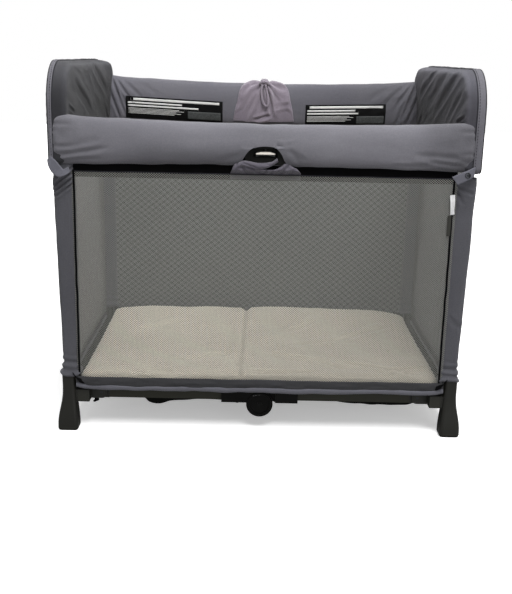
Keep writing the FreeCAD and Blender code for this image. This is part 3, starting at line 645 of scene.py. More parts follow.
# ---------------------------------------------------------------- the materials
LOOKS = {
    "cover": fabric("rail_fabric", (111, 110, 116), (102, 101, 107), vary=0.06, sheen=0.12,
                    wear_and_crease_shade=0.0, spec=0.15, tone=painted_shade_front),
    # a darker copy of the front's rail cloth: painted shade on the back cover
    "cover_back": fabric("rail_fabric_back", (105, 104, 110), (97, 96, 103), vary=0.06,
                         sheen=0.12, wear_and_crease_shade=0.0, spec=0.15, tone=painted_shade_back),
    # one cloth on both wings, a darker copy on the left and a lighter one on the right: painted
    # shade and light
    "wing_left": fabric("wing_fabric_left", (53, 53, 56), (48, 48, 52), vary=0.07, sheen=0.10,
                        spec=0.15, tone=painted_light_and_shade_wing),
    "wing_right": fabric("wing_fabric_right", (71, 70, 76), (64, 64, 70), vary=0.07,
                         sheen=0.10, spec=0.15, tone=painted_light_and_shade_wing),
    "band": fabric("gusset_fabric", (98, 97, 103), (90, 89, 95), vary=0.05, sheen=0.12,
                   spec=0.15),
    "sleeve": fabric("sleeve_fabric", (78, 78, 83), (71, 71, 76), vary=0.06, sheen=0.12,
                     spec=0.15),
    "mauve": fabric("stretch_mauve", (131, 122, 132), (120, 112, 123), vary=0.08,
                    weave=0.0008, sheen=0.3, rough=0.7),
    "drape": fabric("cutout_cloth", (88, 84, 93), (78, 75, 84), vary=0.08, weave=0.0008,
                    sheen=0.2, rough=0.75),
    "border": fabric("border_fabric", (54, 54, 56), vary=0.08, sheen=0.08, spec=0.12),
    "piping": fabric("piping_fabric", (86, 86, 93), vary=0.08, sheen=0.2),
    "tab": fabric("strap_webbing", (88, 88, 96), vary=0.08, weave=0.0014, sheen=0.15),
    # near-black cloth; under the front cover its darkness also paints the shade in the gap
    "dark": fabric("dark_lining", (5, 5, 6), vary=0.2, sheen=0.0, speck=0.15, spec=0.06),
    "patch": fabric("patch_black", (10, 10, 11), vary=0.1, sheen=0.0, weave=0.0006,
                    rough=0.6, spec=0.1),
    "patch_pale": fabric("patch_pale", (212, 212, 210), vary=0.06, sheen=0.02, weave=0.0006,
                         rough=0.7, wear_and_crease_shade=0.3),
    "patch_grey": fabric("patch_grey", (70, 72, 72), vary=0.3, sheen=0.02, weave=0.0009,
                         rough=0.9, speck=0.4, spec=0.1),
    "thread": fabric("seam_thread", (34, 34, 38), vary=0.1, weave=0.0007, sheen=0.05, spec=0.1),
    "net_front": net("net_front", (110, 110, 106), cover=0.48),
    # one mesh at both ends, a lighter copy on the left and a darker one on the right: painted light
    # and shade
    "net_left": net("net_end_left", (138, 139, 136), cover=0.56, least=0.94, dark=0.15),
    "net_right": net("net_end_right", (82, 83, 81), cover=0.56, least=0.94, dark=0.15),
    "net_back": net("net_back", (126, 128, 126), cover=0.45, pitch=0.00553, least=1.0,
                    dark=0.04),
    "mattress": knit("mattress_knit", (218, 209, 191), (212, 204, 187), (150, 141, 124),
                     tone=painted_shade_pad),
    "plastic": moulded("black_plastic", (22, 22, 18), spec=0.34),
    "gloss": moulded("hub_plastic", (9, 9, 8), rough=0.36, grain=2500.0, spec=0.10),
    "rubber": moulded("sole_rubber", (22, 22, 18), rough=0.75, grain=900.0, bump=0.5, spec=0.1),
    "rail": moulded("rail_paint", (38, 38, 33), rough=0.45, grain=2200.0, bump=0.12, spec=0.12),
    "tube": metal("tube_aluminium", (196, 197, 199), rough=0.32),
    "steel": metal("pin_steel", (190, 190, 192), rough=0.25),
    "gunmetal": metal("snap_gunmetal", (60, 61, 64), rough=0.35, lines=(400.0, 400.0, 400.0)),
    "spring": metal("spring_dark", (34, 34, 36), rough=0.45),
    "lever": metal("lever_silver", (238, 234, 226), rough=0.34, lines=(900.0, 20.0, 20.0),
                   metallic=0.6),
    "board": knit("board_brown", (120, 96, 70), (112, 90, 66), (84, 66, 48)),
    "floor_cloth": fabric("floor_cloth", (19, 20, 18), vary=0.25, sheen=0.0, spec=0.06),
    "tag": fabric("care_tag", (206, 206, 207), vary=0.16, sheen=0.0, weave=0.0006),
}

# looks of the CAD pieces, by the start of their names
CAD_LOOKS = {
    "plastic": ("feet", "base_brackets", "top_brackets", "base_knuckles", "top_knuckle"),
    "gloss": ("base_hubs", "base_hub_axle", "top_hub_front_", "top_hub_back_"),
    "rubber": ("foot_soles",),
    "rail": ("bottom_crossbar", "base_rails"),
    "tube": ("end_hoop", "top_rail"),
    "gunmetal": ("pivot_pins",),
    "spring": ("release_spring",),
    "steel": ("top_hub_pin",),
    "lever": ("release_lever",),
    "board": ("mattress_board",),
    "floor_cloth": ("floor_sling",),
}


def repaint(node, look):
    thing = frame["nodes"][node]
    if not thing.material_slots:
        thing.data.materials.append(LOOKS[look])
    for slot in thing.material_slots:
        slot.material = LOOKS[look]


for node in frame["nodes"]:
    for look, starts in CAD_LOOKS.items():
        if node.startswith(starts):
            repaint(node, look)
    if node == "zip_pull":
        repaint(node, "plastic")

for face, word in FACES:
    bar_z = 0.670 + (RAISE if face > 0 else 0.0)
    LOOKS["lever_" + word] = lever_look("lever_" + word, bar_z - 0.0052, bar_z + 0.0003)
    repaint("release_lever_" + word, "lever_" + word)


def fit(thing, look, body=None):
    """Gives a piece its material and colour slot, and the body it rides with."""
    thing.data.materials.clear()
    thing.data.materials.append(LOOKS[look])
    if body:
        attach(thing, body)
    return thing


def blend_at_hub(thing):
    """Bakes into its mesh the placement of a piece that sits between the two halves of a top rail.
    """
    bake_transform(thing)


# ---------------------------------------------------------------- rail covers
# folds on the outer face of the front cover: x, z, x, z, width, depth
FRONT_FOLDS = (
    (-0.054, 0.6835, -0.024, 0.6812, 0.0030, 0.0020), (0.020, 0.6842, 0.058, 0.6885, 0.0032, 0.0036),
    (0.050, 0.674, 0.086, 0.652, 0.0060, 0.0018), (0.060, 0.660, 0.080, 0.641, 0.0050, 0.0016),
    (-0.100, 0.648, -0.055, 0.664, 0.0060, 0.0012), (-0.450, 0.655, -0.35, 0.672, 0.0050, 0.0024),
    (-0.450, 0.668, -0.37, 0.690, 0.0070, 0.0012), (-0.440, 0.643, -0.36, 0.648, 0.0040, 0.0018),
    (0.36, 0.656, 0.440, 0.646, 0.0045, 0.0024), (0.33, 0.670, 0.43, 0.664, 0.0065, 0.0018),
    (0.28, 0.644, 0.37, 0.646, 0.0045, 0.0020),
)
# folds at each end of the back cover's inner face, in the same columns, for the right end
BACK_FOLDS = (
    (0.428, 0.742, 0.392, 0.645, 0.0045, 0.0080), (0.414, 0.738, 0.366, 0.668, 0.0045, 0.0045),
    (0.437, 0.715, 0.407, 0.630, 0.0045, 0.0065), (0.400, 0.742, 0.345, 0.690, 0.0060, 0.0030),
    (0.398, 0.690, 0.375, 0.625, 0.0050, 0.0045), (0.350, 0.730, 0.300, 0.700, 0.0075, 0.0016),
)
BACK_RIGHT_FOLD = ((0.30, 0.665, 0.385, 0.700, 0.0075, 0.0020),)
FOLD_SCALE = {-1: (0.8, 0.62), 1: (0.9, 0.85)}  # of their width and depth, by end


def cover_relief(x, z, outer, face):
    """Height of the cover's cloth above its plain section."""
    gathers = smooth(0.41, 0.452, np.abs(x)) * np.sin(z * 2 * math.pi / 0.0135 + 2 * np.sin(z * 90))
    if face < 0:
        relief = creases(x, z, FRONT_FOLDS)
        relief = relief + 0.0018 * fbm(x * 9, z * 14, 0.3, seed=3)
        relief = relief + 0.0006 * fbm(x * 30, z * 45, 2.3, seed=5) + 0.0011 * gathers
        return np.where(outer, relief, 0.0010 * fbm(x * 14, z * 20, 4.0, seed=9))
    z = z - RAISE
    inner = 0.0014 * fbm(x * 9, z * 14, 1.3, seed=13)
    for side in (-1, 1):
        rows = np.array(BACK_FOLDS) * (side, 1, side, 1, *FOLD_SCALE[side])
        inner = creases(x, z, rows, inner)
    inner = creases(x, z, BACK_RIGHT_FOLD, inner)
    relief = 0.0014 * fbm(x * 8, z * 13, 2.2, seed=17) + 0.0005 * fbm(x * 30, z * 45, 1.3, seed=19)
    return np.where(outer, relief + 0.0010 * gathers, inner)


def cover_points(x, angle, face, inset=0.0, loose=0.0):
    """Section of a padded rail cover at x, as points round it. face is -1 at the front and 1
    at the back. inset draws the surface in, and loose lets it stand further out."""
    x, angle = np.broadcast_arrays(np.asarray(x, float), np.asarray(angle, float))
    from_middle = np.abs(x)
    sag = 1 - (x / 0.43) ** 2
    if face < 0:
        top = COVER_HIGH + 0.0015 - 0.0115 * sag
        low = COVER_LOW + 0.0005 + 0.005 * sag
    else:
        top = COVER_HIGH + 0.0090 - 0.0150 * sag + RAISE
        low = COVER_LOW - 0.0125 + RAISE
    # the ends turn down to the wing's seam
    end = np.where(x < 0, SEAM[-1], SEAM[1])
    turn = np.where(x < 0, END_TURN[-1], END_TURN[1])
    t = np.clip((from_middle - (end - turn)) / turn, 0, 1)
    top = top - turn * (1 - np.sqrt(1 - t**2))
    half_y = (COVER_OUT - COVER_IN) / 2 - 0.0006
    half_z = (top - low) / 2
    outer, upper = np.cos(angle) > 0, np.sin(angle) > 0
    # squarer over the top in the middle, and at the outer top edge of the ends
    lower_power = 2.5 if face < 0 else 3.4
    power = np.where(upper, 2.5 + 1.6 * bell(x, 0.055), lower_power)
    power = power + 3.5 * smooth(0.395, 0.440, from_middle) * outer * upper
    across, rise = rounded(angle, power)
    flat = np.clip(np.abs(across), 0, 1) ** 2
    z = (top + low) / 2 + (half_z - inset) * rise
    height = (z - low) / (top - low)
    away = flat * np.where(outer, 1.0, -1.0)
    y = (COVER_IN + COVER_OUT) / 2 + (half_y - inset) * across
    y = y + away * (cover_relief(x, z, outer, face) - 0.0012)
    y = y + away * 0.0024 * np.sin(np.clip(height, 0, 1) * math.pi)
    y = y - np.where(outer, 1.0, 0.0) * 0.0020 * smooth(end - 0.009, end, from_middle)
    wave = 0.0011 * fbm(x * 16, 7.0, 3.0 * np.sign(np.sin(angle)), seed=23)
    z = z + (1 - flat) * np.where(upper, 1.0, -1.0) * wave
    y = np.clip(y, COVER_IN - 0.006 - loose, COVER_OUT + 0.0035 + loose)
    return points(x, face * y, z)


def cover_piece(name, face, stations):
    x = np.asarray(stations)[:, None]
    angle = np.linspace(0, 2 * math.pi, COVER_SIDES, endpoint=False)[None]
    outer = cover_points(x, angle, face)
    piece = shell(name, outer, cover_points(x, angle, face, inset=0.0045))
    piece.data.set_sharp_from_angle(angle=math.radians(50))
    return piece


def end_stations(side):
    """Places along X of an end piece, close together where it turns down."""
    turn = END_TURN[side]
    start = SEAM[side] - turn
    straight = np.linspace(SPLIT, start, 46)
    curved = start + turn * np.sin(np.linspace(0, math.pi / 2, 20))[1:]
    return np.sort(side * np.concatenate([straight, curved]))


# upper edge of the opening in the middle of each cover: x, z at the front
ARCH = smooth_curve([
    (-0.0585, 0.6425), (-0.0522, 0.6492), (-0.0427, 0.6650), (-0.0350, 0.6739),
    (-0.0254, 0.6794), (-0.0040, 0.6828), (0.0195, 0.6809), (0.0295, 0.6733),
    (0.0361, 0.6647), (0.0408, 0.6541), (0.0449, 0.6478), (0.0520, 0.6400)], 6)


def arch_cutter(face):
    outline = [(-0.071, 0.590), (-0.070, 0.6385), *ARCH, (0.064, 0.6365), (0.065, 0.590)]
    up = 0.0 if face < 0 else RAISE
    near, far = (-0.345, -0.3065) if face < 0 else (0.3065, 0.345)
    return prism_y("arch_cutter", [(x, z + up) for x, z in outline], near, far)


def rail_cover(face, word):
    look = "cover" if face < 0 else "cover_back"
    main = cover_piece("cover_" + word, face, np.linspace(-SPLIT, SPLIT, 330))
    cut(main, arch_cutter(face))
    shade_smooth(main.data)
    main.data.set_sharp_from_angle(angle=math.radians(50))
    fit(main, look)
    blend_at_hub(main)
    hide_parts("rail_cover_%s_left" % word, "rail_cover_%s_right" % word)
    for side, end in SIDES:
        piece = fit(cover_piece("cover_end_%s_%s" % (word, end), face, end_stations(side)), look)
        if side < 0:
            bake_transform(piece)
        elif face < 0:
            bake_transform(piece)
        else:
            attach(piece, "right_end")


for face, word in FACES:
    rail_cover(face, word)

# ---------------------------------------------------------------- padded wings
WING_POINTS = 460  # round the outline
WING_RINGS = 52  # from the middle of a face to its edge
GUSSET_ROWS = 14
# The inner face of each wing. lean turns y, z into a direction across the folds and one along
# them. ridge and rumple are height, then scale across and along, offset and seed. fade is the
# ridges' share low down and what is added at the top. folds: y, z, y, z, width, depth.
WING_CLOTH = {
    -1: dict(
        lean=(0.32, 0.947), fade=(1.0, 0.0),
        ridge=(0.0008, 15, 3.2, 0.9, 41), rumple=(0.0010, 40, 10, 2.0, 43),
        folds=(
            (-0.20, 0.80, -0.02, 0.73, 0.011, 0.0040), (0.02, 0.845, 0.20, 0.77, 0.009, 0.0028),
            (-0.29, 0.757, -0.235, 0.742, 0.0035, 0.0035),
            (0.20, 0.72, 0.29, 0.66, 0.008, 0.0035))),
    1: dict(
        lean=(0.406, 0.914), fade=(0.3, 0.7),
        ridge=(0.0019, 25, 4.4, 0.4, 31), rumple=(0.0010, 60, 12, 2.0, 33),
        folds=(
            (-0.22, 0.845, 0.02, 0.745, 0.009, 0.0032), (-0.10, 0.848, 0.12, 0.755, 0.010, 0.0030),
            (0.04, 0.848, 0.22, 0.775, 0.008, 0.0035), (-0.26, 0.800, -0.10, 0.715, 0.008, 0.0030),
            (-0.305, 0.752, -0.235, 0.736, 0.0035, 0.0040),
            (-0.305, 0.742, -0.20, 0.722, 0.0035, 0.0032),
            (0.20, 0.72, 0.29, 0.66, 0.008, 0.0040))),
}


def wing_outline():
    """Points round the wing's side view from the bottom middle, as (y, z), and normals."""
    y1, z0, z1 = Y_OUT - 0.0024, PAD_LOW + 0.0022, PAD_TOP - 0.0006
    front, back, low = 0.092, 0.058, 0.014  # radii: top front, top back, bottom corners

    def line(a, b):
        return [(a[0] + (b[0] - a[0]) * k / 60, a[1] + (b[1] - a[1]) * k / 60) for k in range(60)]

    outline = np.array(
        line((0, z0), (y1 - low, z0))
        + arc(y1 - low, z0 + low, low, -90, 40, 40)
        + line((y1, z0 + low), (y1, z1 - back))
        + arc(y1 - back, z1 - back, back, 0, 40, 40)
        + line((y1 - back, z1), (-(y1 - front), z1))
        + arc(-(y1 - front), z1 - front, front, 90, 40, 40)
        + line((-y1, z1 - front), (-y1, z0 + low))
        + arc(-(y1 - low), z0 + low, low, 180, 40, 40)
        + line((-(y1 - low), z0), (0, z0)))
    even, along = resample(outline, WING_POINTS)
    normal = outward(even)
    # a sewn edge is never quite straight
    return even + normal * (0.0012 * noise3(along * 22, 0.5, 0.5, seed=55))[:, None], normal


def wing_cloth(side, y, z):
    """Folds of the wing's inner face."""
    cloth = WING_CLOTH[side]
    p, q = cloth["lean"]
    u, v = p * y + q * z, q * y - p * z
    height, across, along, offset, seed = cloth["ridge"]
    share, gain = cloth["fade"]
    ridges = height * (share + gain * smooth(0.66, 0.84, z))
    ridges = ridges * ridged(u * across, v * along, offset, seed)
    height, across, along, offset, seed = cloth["rumple"]
    rumple = height * fbm(u * across, v * along, offset, seed)
    return creases(y, z, cloth["folds"], ridges + rumple)


def wing(side, name):
    edge, normal = wing_outline()
    seam = SEAM[side]
    outer_edge = X_OUT - 0.0042
    middle_z = np.full(WING_POINTS, (PAD_LOW + PAD_TOP) / 2)
    middle = np.stack([np.clip(edge[:, 0], -0.215, 0.215), middle_z], -1)
    reach = (1 - (1 - np.linspace(0, 1, WING_RINGS)) ** 1.5)[:, None, None]
    rings = middle[None] + (edge - middle)[None] * reach
    inward = np.linalg.norm(edge[None] - rings, axis=2)
    y, z = rings[..., 0], rings[..., 1]
    puff = 1 - np.exp(-inward / 0.0042)
    full_back = smooth(0.02, 0.27, y) * smooth(0.68, 0.83, z)
    relief = np.maximum(wing_cloth(side, y, z), -0.0010) + 0.0075 * full_back + 0.0016
    turn = (np.arange(WING_POINTS) / WING_POINTS)[None]
    waves = np.sin(turn * 2 * math.pi * 88 + 1.5 * np.sin(turn * 2 * math.pi * 13))
    pucker = 0.0010 * np.exp(-inward / 0.016) * (1 - np.exp(-inward / 0.003)) * waves
    inner_x = seam - (seam - 0.4365) * puff - relief * puff - np.abs(pucker)
    rough = 0.0016 * ridged(y * 13, z * 5, 1.2, seed=51 + side)
    rough = rough + 0.0008 * fbm(y * 34, z * 30, 3.0, seed=53)
    outer_x = outer_edge + 0.0030 * puff + rough * puff + pucker
    # gusset between the two faces
    t = (np.arange(1, GUSSET_ROWS + 1) / (GUSSET_ROWS + 1))[:, None]
    bulge = 0.0024 * np.sin(t * math.pi) ** 0.7
    bulge = bulge + 0.0007 * np.sin(math.pi * t) * fbm(turn * 60, t * 2, 1.0, seed=61 + side)
    gusset = points(
        side * (seam + (outer_edge - seam) * t),
        edge[None, :, 0] + normal[None, :, 0] * bulge,
        edge[None, :, 1] + normal[None, :, 1] * bulge)
    inner, outer = points(side * inner_x, y, z), points(side * outer_x, y, z)[::-1]
    place = np.concatenate([inner, gusset, outer], 0)
    pad = grid("wing_" + name, place, closed_v=True)
    weld_centres(pad, last=(len(place) - 1) * WING_POINTS)
    # inner face, gusset and outer face; the outer face takes the front rail cloth with its painted
    # shade by place
    for look in ("wing_" + name, "band", "cover"):
        pad.data.materials.append(LOOKS[look])
    row = np.arange(len(pad.data.polygons)) // WING_POINTS
    gusset_start = WING_RINGS - 1
    index = np.digitize(row, (gusset_start, gusset_start + GUSSET_ROWS + 1)).astype(np.int32)
    pad.data.polygons.foreach_set("material_index", index)
    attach(pad, END[side])
    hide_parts("wing_pad_" + name)
    cord_y, cord_z = (edge + normal * 0.0004).T
    cords = [
        tube("cord_" + tag, points(side * x, cord_y, cord_z), 0.0012, 8, closed=True)
        for tag, x in (("in", seam - 0.0003), ("out", X_OUT - 0.0040))]
    fit(join("wing_cord_" + name, cords), "thread", END[side])
    stitches("wing_stitches_" + name, side, edge, normal)


def weld_centres(pad, last):
    """Closes the slit left in the middle of the inner and of the outer face."""

    def weld(bm):
        ends = [v for v in bm.verts if v.index < WING_POINTS or v.index >= last]
        bmesh.ops.remove_doubles(bm, verts=ends, dist=1e-6)

    face_outward(pad.data, weld)
    shade_smooth(pad.data)


def stitches(name, side, edge, normal):
    """A row of short sewn stitches along the gusset, 4 mm long every 6.5 mm."""
    ring = np.c_[np.r_[edge, edge[:1]], np.r_[normal, normal[:1]]]
    run = arc_lengths(ring[:, :2])
    total = run[-1]
    count = int(total / 0.0065)
    verts, faces = [], []
    for i in range(count):
        start = (i + 0.15) * total / count
        if np.interp(start, run, ring[:, 1]) < PAD_LOW + 0.01:
            continue
        base = len(verts)
        for step, radius in ((0.0, 0.00045), (0.0021, 0.0007), (0.0042, 0.00045)):
            y, z, out_y, out_z = (np.interp(start + step, run, column) for column in ring.T)
            for a in range(6):
                angle = a * math.pi / 3
                height = 0.0019 + radius * math.sin(angle)
                x = side * (SEAM[side] + 0.0040 + radius * math.cos(angle))
                verts.append((x, y + out_y * height, z + out_z * height))
        for low in (base, base + 6):
            for a in range(6):
                b = (a + 1) % 6
                faces.append((low + a, low + b, low + 6 + b, low + 6 + a))
        faces.append(tuple(base + a for a in range(5, -1, -1)))
        faces.append(tuple(base + 12 + a for a in range(6)))
    mesh = bpy.data.meshes.new(name)
    mesh.from_pydata(verts, [], faces)
    fit(add_object(name, mesh), "thread", END[side])


for side, end in SIDES:
    wing(side, end)

# ---------------------------------------------------------------- leg sleeves
SLEEVE_LOW = 0.1385
SLEEVE_FRONT, SLEEVE_REAR = 0.3108, 0.2832  # |y| of the outer and inner faces
# drag lines on the front of the front sleeves: x, z, x, z, width, depth
SLEEVE_FOLDS = {
    -1: [(-0.468, 0.560 + 0.013 * k, -0.430, 0.588 + 0.013 * k, 0.0024, 0.0042) for k in range(4)],
    1: ((0.430, 0.600, 0.466, 0.585, 0.004, 0.0022), (0.428, 0.588, 0.450, 0.560, 0.004, 0.0016),
        (0.430, 0.30, 0.462, 0.27, 0.006, 0.0016)),
}


def sleeve_points(side, face, inset):
    if side > 0 and face < 0:
        z1 = 0.6205
    else:
        z1 = SLEEVE[1].z + (0.0145 if face < 0 else 0.0035)
    z0 = SLEEVE_LOW
    z = np.linspace(z0, z1, 260)[:, None]
    angle = np.linspace(0, 2 * math.pi, 96, endpoint=False)[None]
    across, out = rounded(angle, 3.4)
    flare = 1 - smooth(z0 + 0.004, z0 + 0.032, z)
    x_out = SLEEVE[1].x + 0.0075 * smooth(0.16, 0.60, z) + 0.0045 * flare
    x_in = SLEEVE[0].x - 0.0005 - 0.0015 * flare
    half_x = (x_out - x_in) / 2 - inset - 0.0008
    half_y = (SLEEVE_FRONT - SLEEVE_REAR) / 2 - inset - 0.0006 + 0.0052 * flare
    x_mid, y_mid = (x_in + x_out) / 2, (SLEEVE_FRONT + SLEEVE_REAR) / 2
    seed = 71 + (side > 0) * 3 + (face > 0) * 11
    cuff = 1 - smooth(z0 + 0.02, z0 + 0.065, z)
    head = smooth(z1 - 0.10, z1 - 0.02, z)
    relief = 0.0012 * fbm(angle * 1.1, z * 11, 1.0, seed, octaves=3)
    sway = 0.9 * np.sin(angle + seed) + 0.9 * np.cos(angle * 2 + seed)
    relief = relief + cuff * 0.0021 * np.sin((z - z0) * 2 * math.pi / 0.0185 + sway)
    ridges = ridged(angle * 0.9 + z * 14, z * 24 - angle * 0.4, 2.0, seed + 2)
    relief = relief + head * 0.0024 * ridges + 0.0016 * bell(z - (z0 + 0.003), 0.003)
    if face < 0:
        drag = creases(side * (x_mid + half_x * across), z, SLEEVE_FOLDS[side])
        relief = relief + drag * (np.sin(angle) > 0.2)
    relief = np.clip(relief, -0.0024, 0.004)
    hem = 0.0030 * cuff * np.sin(angle * 2 + seed) * (1 - smooth(z0, z0 + 0.03, z))
    return points(
        side * (x_mid + (half_x + relief) * across),
        face * (y_mid + (half_y + relief * 0.8) * out), z + hem)


def sleeve(side, end, face, word):
    outer = sleeve_points(side, face, 0.0)
    piece = shell("sleeve_%s_%s" % (word, end), outer, sleeve_points(side, face, 0.0012))
    fit(piece, "sleeve", END[side])
    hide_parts("leg_sleeves_" + end)


def sleeve_edge_strip(side, end, face, word):
    """A near-black strip down the sleeve's inner edge, where the mesh meets the sleeve."""
    z = np.linspace(0.132, 0.622 if face < 0 else 0.69, 60)
    shift = 0.0030 if side > 0 and face < 0 else 0.0
    x = side * (0.4252 - shift + 0.0007 * noise3(z * 30, 1.0, 1.0, seed=66))
    rows = np.c_[points(x, face * 0.3114, z), np.tile([0.0022, 0, 0], (60, 1))]
    strip = ribbon("binding_%s_%s" % (word, end), rows, thickness=0.0014, per=2)
    fit(strip, "dark", END[side])


for side, end in SIDES:
    for face, word in FACES:
        sleeve(side, end, face, word)
        sleeve_edge_strip(side, end, face, word)


# ---------------------------------------------------------------- mesh walls and their borders
def gather(thing):
    """Rides with the left end, with a mesh of its own."""
    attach(thing, "left_end")
    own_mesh(thing)


# pipe_*: height, sway, radius and its change along the piping. floor_*: half length, stations
# and the distance out at which the floor's edge strip starts and ends.
WALL_BORDER = dict(
    out=0.3122, bulge=0.0013, rumple=0.0012, pipe_z=0.1098, pipe_sway=0.0010,
    pipe_radius=0.0060, pipe_vary=0.0008, floor_half=0.4325, floor_count=120,
    floor_out=0.3130, floor_in=0.277, seed=97)
END_BORDER = dict(
    out=0.4575, bulge=0.0012, rumple=0.0008, pipe_z=0.1095, pipe_sway=0.0,
    pipe_radius=0.0058, pipe_vary=0.0006, floor_half=0.279, floor_count=90,
    floor_out=0.4590, floor_in=0.412, seed=107)


def lower_border(names, place, fasten, along, lift, band_seed, size):
    """Band, rolled piping and floor edge below a mesh. place turns a distance along, a
    distance out and a height into points; fasten ties each piece to the frame."""
    seed = size["seed"]
    column = along[:, None]
    t = np.linspace(0, 1, 12)[None]
    low, high = 0.114 + lift[:, None], 0.1355 + 0.35 * lift[:, None]
    out = size["out"] + size["bulge"] * np.sin(t * math.pi)
    out = out + size["rumple"] * fbm(column * 26, t * 2, 1.0, band_seed)
    band = thick_sheet(names[0], place(column, out, low + (high - low) * t), 0.0018)
    fasten(fit(band, "border"))

    out = size["out"] + size["pipe_sway"] * fbm(along * 20, 3.0, 1.0, seed - 2)
    radius = size["pipe_radius"] + size["pipe_vary"] * fbm(along * 22, 1.0, 5.0, seed)
    line = place(along, out, size["pipe_z"] + lift)
    fasten(fit(tube(names[1], line, radius, 16, squish=(1.0, 0.52)), "piping"))

    half = size["floor_half"]
    column = np.linspace(-half, half, size["floor_count"])[:, None]
    out = size["floor_out"] - (size["floor_out"] - size["floor_in"]) * t
    z = 0.1085 - 0.0055 * smooth(0, 0.3, t)
    z = z + 0.0012 * fbm(column * 10, t * 3, 1.0, seed + 2) * np.sin(t * math.pi)
    strip = thick_sheet(names[2], place(column, out, z), 0.0010)
    fasten(fit(strip, "floor_cloth"))


def wall(face, word):
    top = 0.6185 + (0.0 if face < 0 else RAISE)

    def place(along, out, z):
        return points(along, face * out, z)

    x = np.linspace(-WALL_HALF, WALL_HALF, 200)[:, None]
    z = np.linspace(WALL_LOW, top, 120)[None]
    inside = 1 - (x / WALL_HALF) ** 2
    arch = np.sin((z - WALL_LOW) / (top - WALL_LOW) * math.pi)
    sway = 0.0016 * inside * fbm(x * 5, z * 5, 1.0, seed=81 + face) * arch**0.5
    y = WALL_Y - 0.0030 * inside * arch + sway
    # the knit is pulled a little off its grid
    u = x + 0.5 + 0.0012 * fbm(x * 4, z * 4, 2.0, seed=83)
    v = z + 0.0012 * fbm(x * 4, z * 4, 6.0, seed=84)
    sheet = grid("wall_mesh_" + word, place(x, y, z), uv=np.stack([u, v], -1), flip=face > 0)
    gather(fit(sheet, "net_" + word))
    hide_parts("mesh_wall_" + word)

    # hem cord along the top of the mesh
    x = x[:, 0]
    line = place(x, WALL_Y, top + 0.0004 * noise3(x * 30, 1.0, 1.0, seed=82))
    gather(fit(tube("wall_hem_" + word, line, 0.0011, 8), "thread"))

    # strip inside the rail cover's lower edge, behind the mesh; at the front it is near-black cloth,
    # dark enough to paint the shade in the gap under the cover as well
    drop, out, look = (0.013, 0.3045, "dark") if face < 0 else (0.006, 0.2975, "cover")
    z = np.linspace(top - drop, top + 0.040, 14)[None]
    x = np.linspace(-WALL_HALF + 0.001, WALL_HALF - 0.001, 160)[:, None]
    out = out - 0.0012 * fbm(x * 20, z * 9, 1.0, seed=85)
    gather(fit(thick_sheet("wall_lining_" + word, place(x, out, z), 0.0012), look))

    x = np.linspace(-0.4335, 0.4335, 260)
    lift = 0.0020 * fbm(x * 7, 1.0, 2.0, seed=91 + face) + 0.0012 * noise3(x * 24, 1.0, 2.0, seed=92)
    lift = lift + 0.006 * bell(np.abs(x) - 0.4335, 0.016) * (1 if face < 0 else 0.4)
    names = [part + word for part in ("border_band_", "border_piping_", "floor_edge_")]
    lower_border(names, place, gather, x, lift, 93 + face, WALL_BORDER)


def end_wall(side, name):
    def place(along, out, z):
        return points(side * out, along, z)

    y = np.linspace(-0.2905, 0.2905, 130)[:, None]
    z = np.linspace(WALL_LOW, PAD_LOW + 0.004, 120)[None]
    height = (z - WALL_LOW) / (PAD_LOW - WALL_LOW)
    inside = 1 - (y / 0.2835) ** 2
    x = 0.4558 - 0.0016 * inside * np.sin(np.clip(height, 0, 1) * math.pi)
    x = x + 0.0010 * fbm(y * 6, z * 6, 1.0, seed=101) * inside
    # drag lines from the top front and bottom front corners, held still at the edges
    pin = np.clip((0.2905 - np.abs(y)) / 0.03, 0, 1)
    pin = pin * np.clip((PAD_LOW - z) / 0.02, 0, 1) * np.clip((z - WALL_LOW) / 0.04, 0, 1)
    near = bell(np.hypot(y + 0.29, z - 0.62), 0.22)
    phase = (z - 0.62 - 0.55 * (y + 0.29)) / 0.042 * math.pi
    x = x - 0.0030 * pin * near * np.sin(phase + 1.2 * fbm(y * 5, z * 5, 1.0, seed=86))
    near = bell(np.hypot(y + 0.25, z - 0.18), 0.16)
    x = x - 0.0022 * pin * near * np.sin((y + 0.29 + 0.25 * (z - 0.13)) / 0.024 * math.pi)
    u = y + 0.5 + 0.003 * fbm(y * 4, z * 4, 3.0, seed=85)
    uv = np.stack(np.broadcast_arrays(u, z), -1)
    sheet = grid("end_mesh_sheet_" + name, place(y, x, z), uv=uv, flip=side > 0)
    fit(sheet, "net_" + name, END[side])
    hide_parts("end_mesh_" + name)

    y = np.linspace(-0.2815, 0.2815, 170)
    lift = 0.0016 * fbm(y * 8, 1.0, 2.0, seed=103)
    names = [part + name for part in ("end_band_", "end_piping_", "end_floor_edge_")]
    lower_border(
        names, place, lambda thing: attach(thing, END[side]), y, lift, 105, END_BORDER)


for face, word in FACES:
    wall(face, word)
for side, end in SIDES:
    end_wall(side, end)

# ---------------------------------------------------------------- cloth in the front cut-out
# upper edge of the sheet, then upper and lower edges of its roll: x, z
DRAPE_EDGE = (
    (-0.0775, 0.6150), (-0.0745, 0.6260), (-0.0690, 0.6390), (-0.0610, 0.6480),
    (-0.0514, 0.6500), (-0.0425, 0.6462), (-0.0269, 0.6375), (-0.0048, 0.6320),
    (0.0195, 0.6312), (0.0326, 0.6368), (0.0445, 0.6450), (0.0520, 0.6440),
    (0.0600, 0.6385), (0.0702, 0.6335), (0.0793, 0.6240),
)
ROLL_TOP = (
    (-0.0600, 0.6440), (-0.0500, 0.6500), (-0.0338, 0.6484), (-0.0183, 0.6456),
    (0.0015, 0.6460), (0.0168, 0.6496), (0.0258, 0.6568),
)
ROLL_LOW = (
    (-0.0620, 0.6330), (-0.0500, 0.6385), (-0.0330, 0.6366), (-0.0170, 0.6330),
    (-0.0010, 0.6345), (0.0125, 0.6395), (0.0285, 0.6500),
)
DRAPE_FOOT = 0.6075
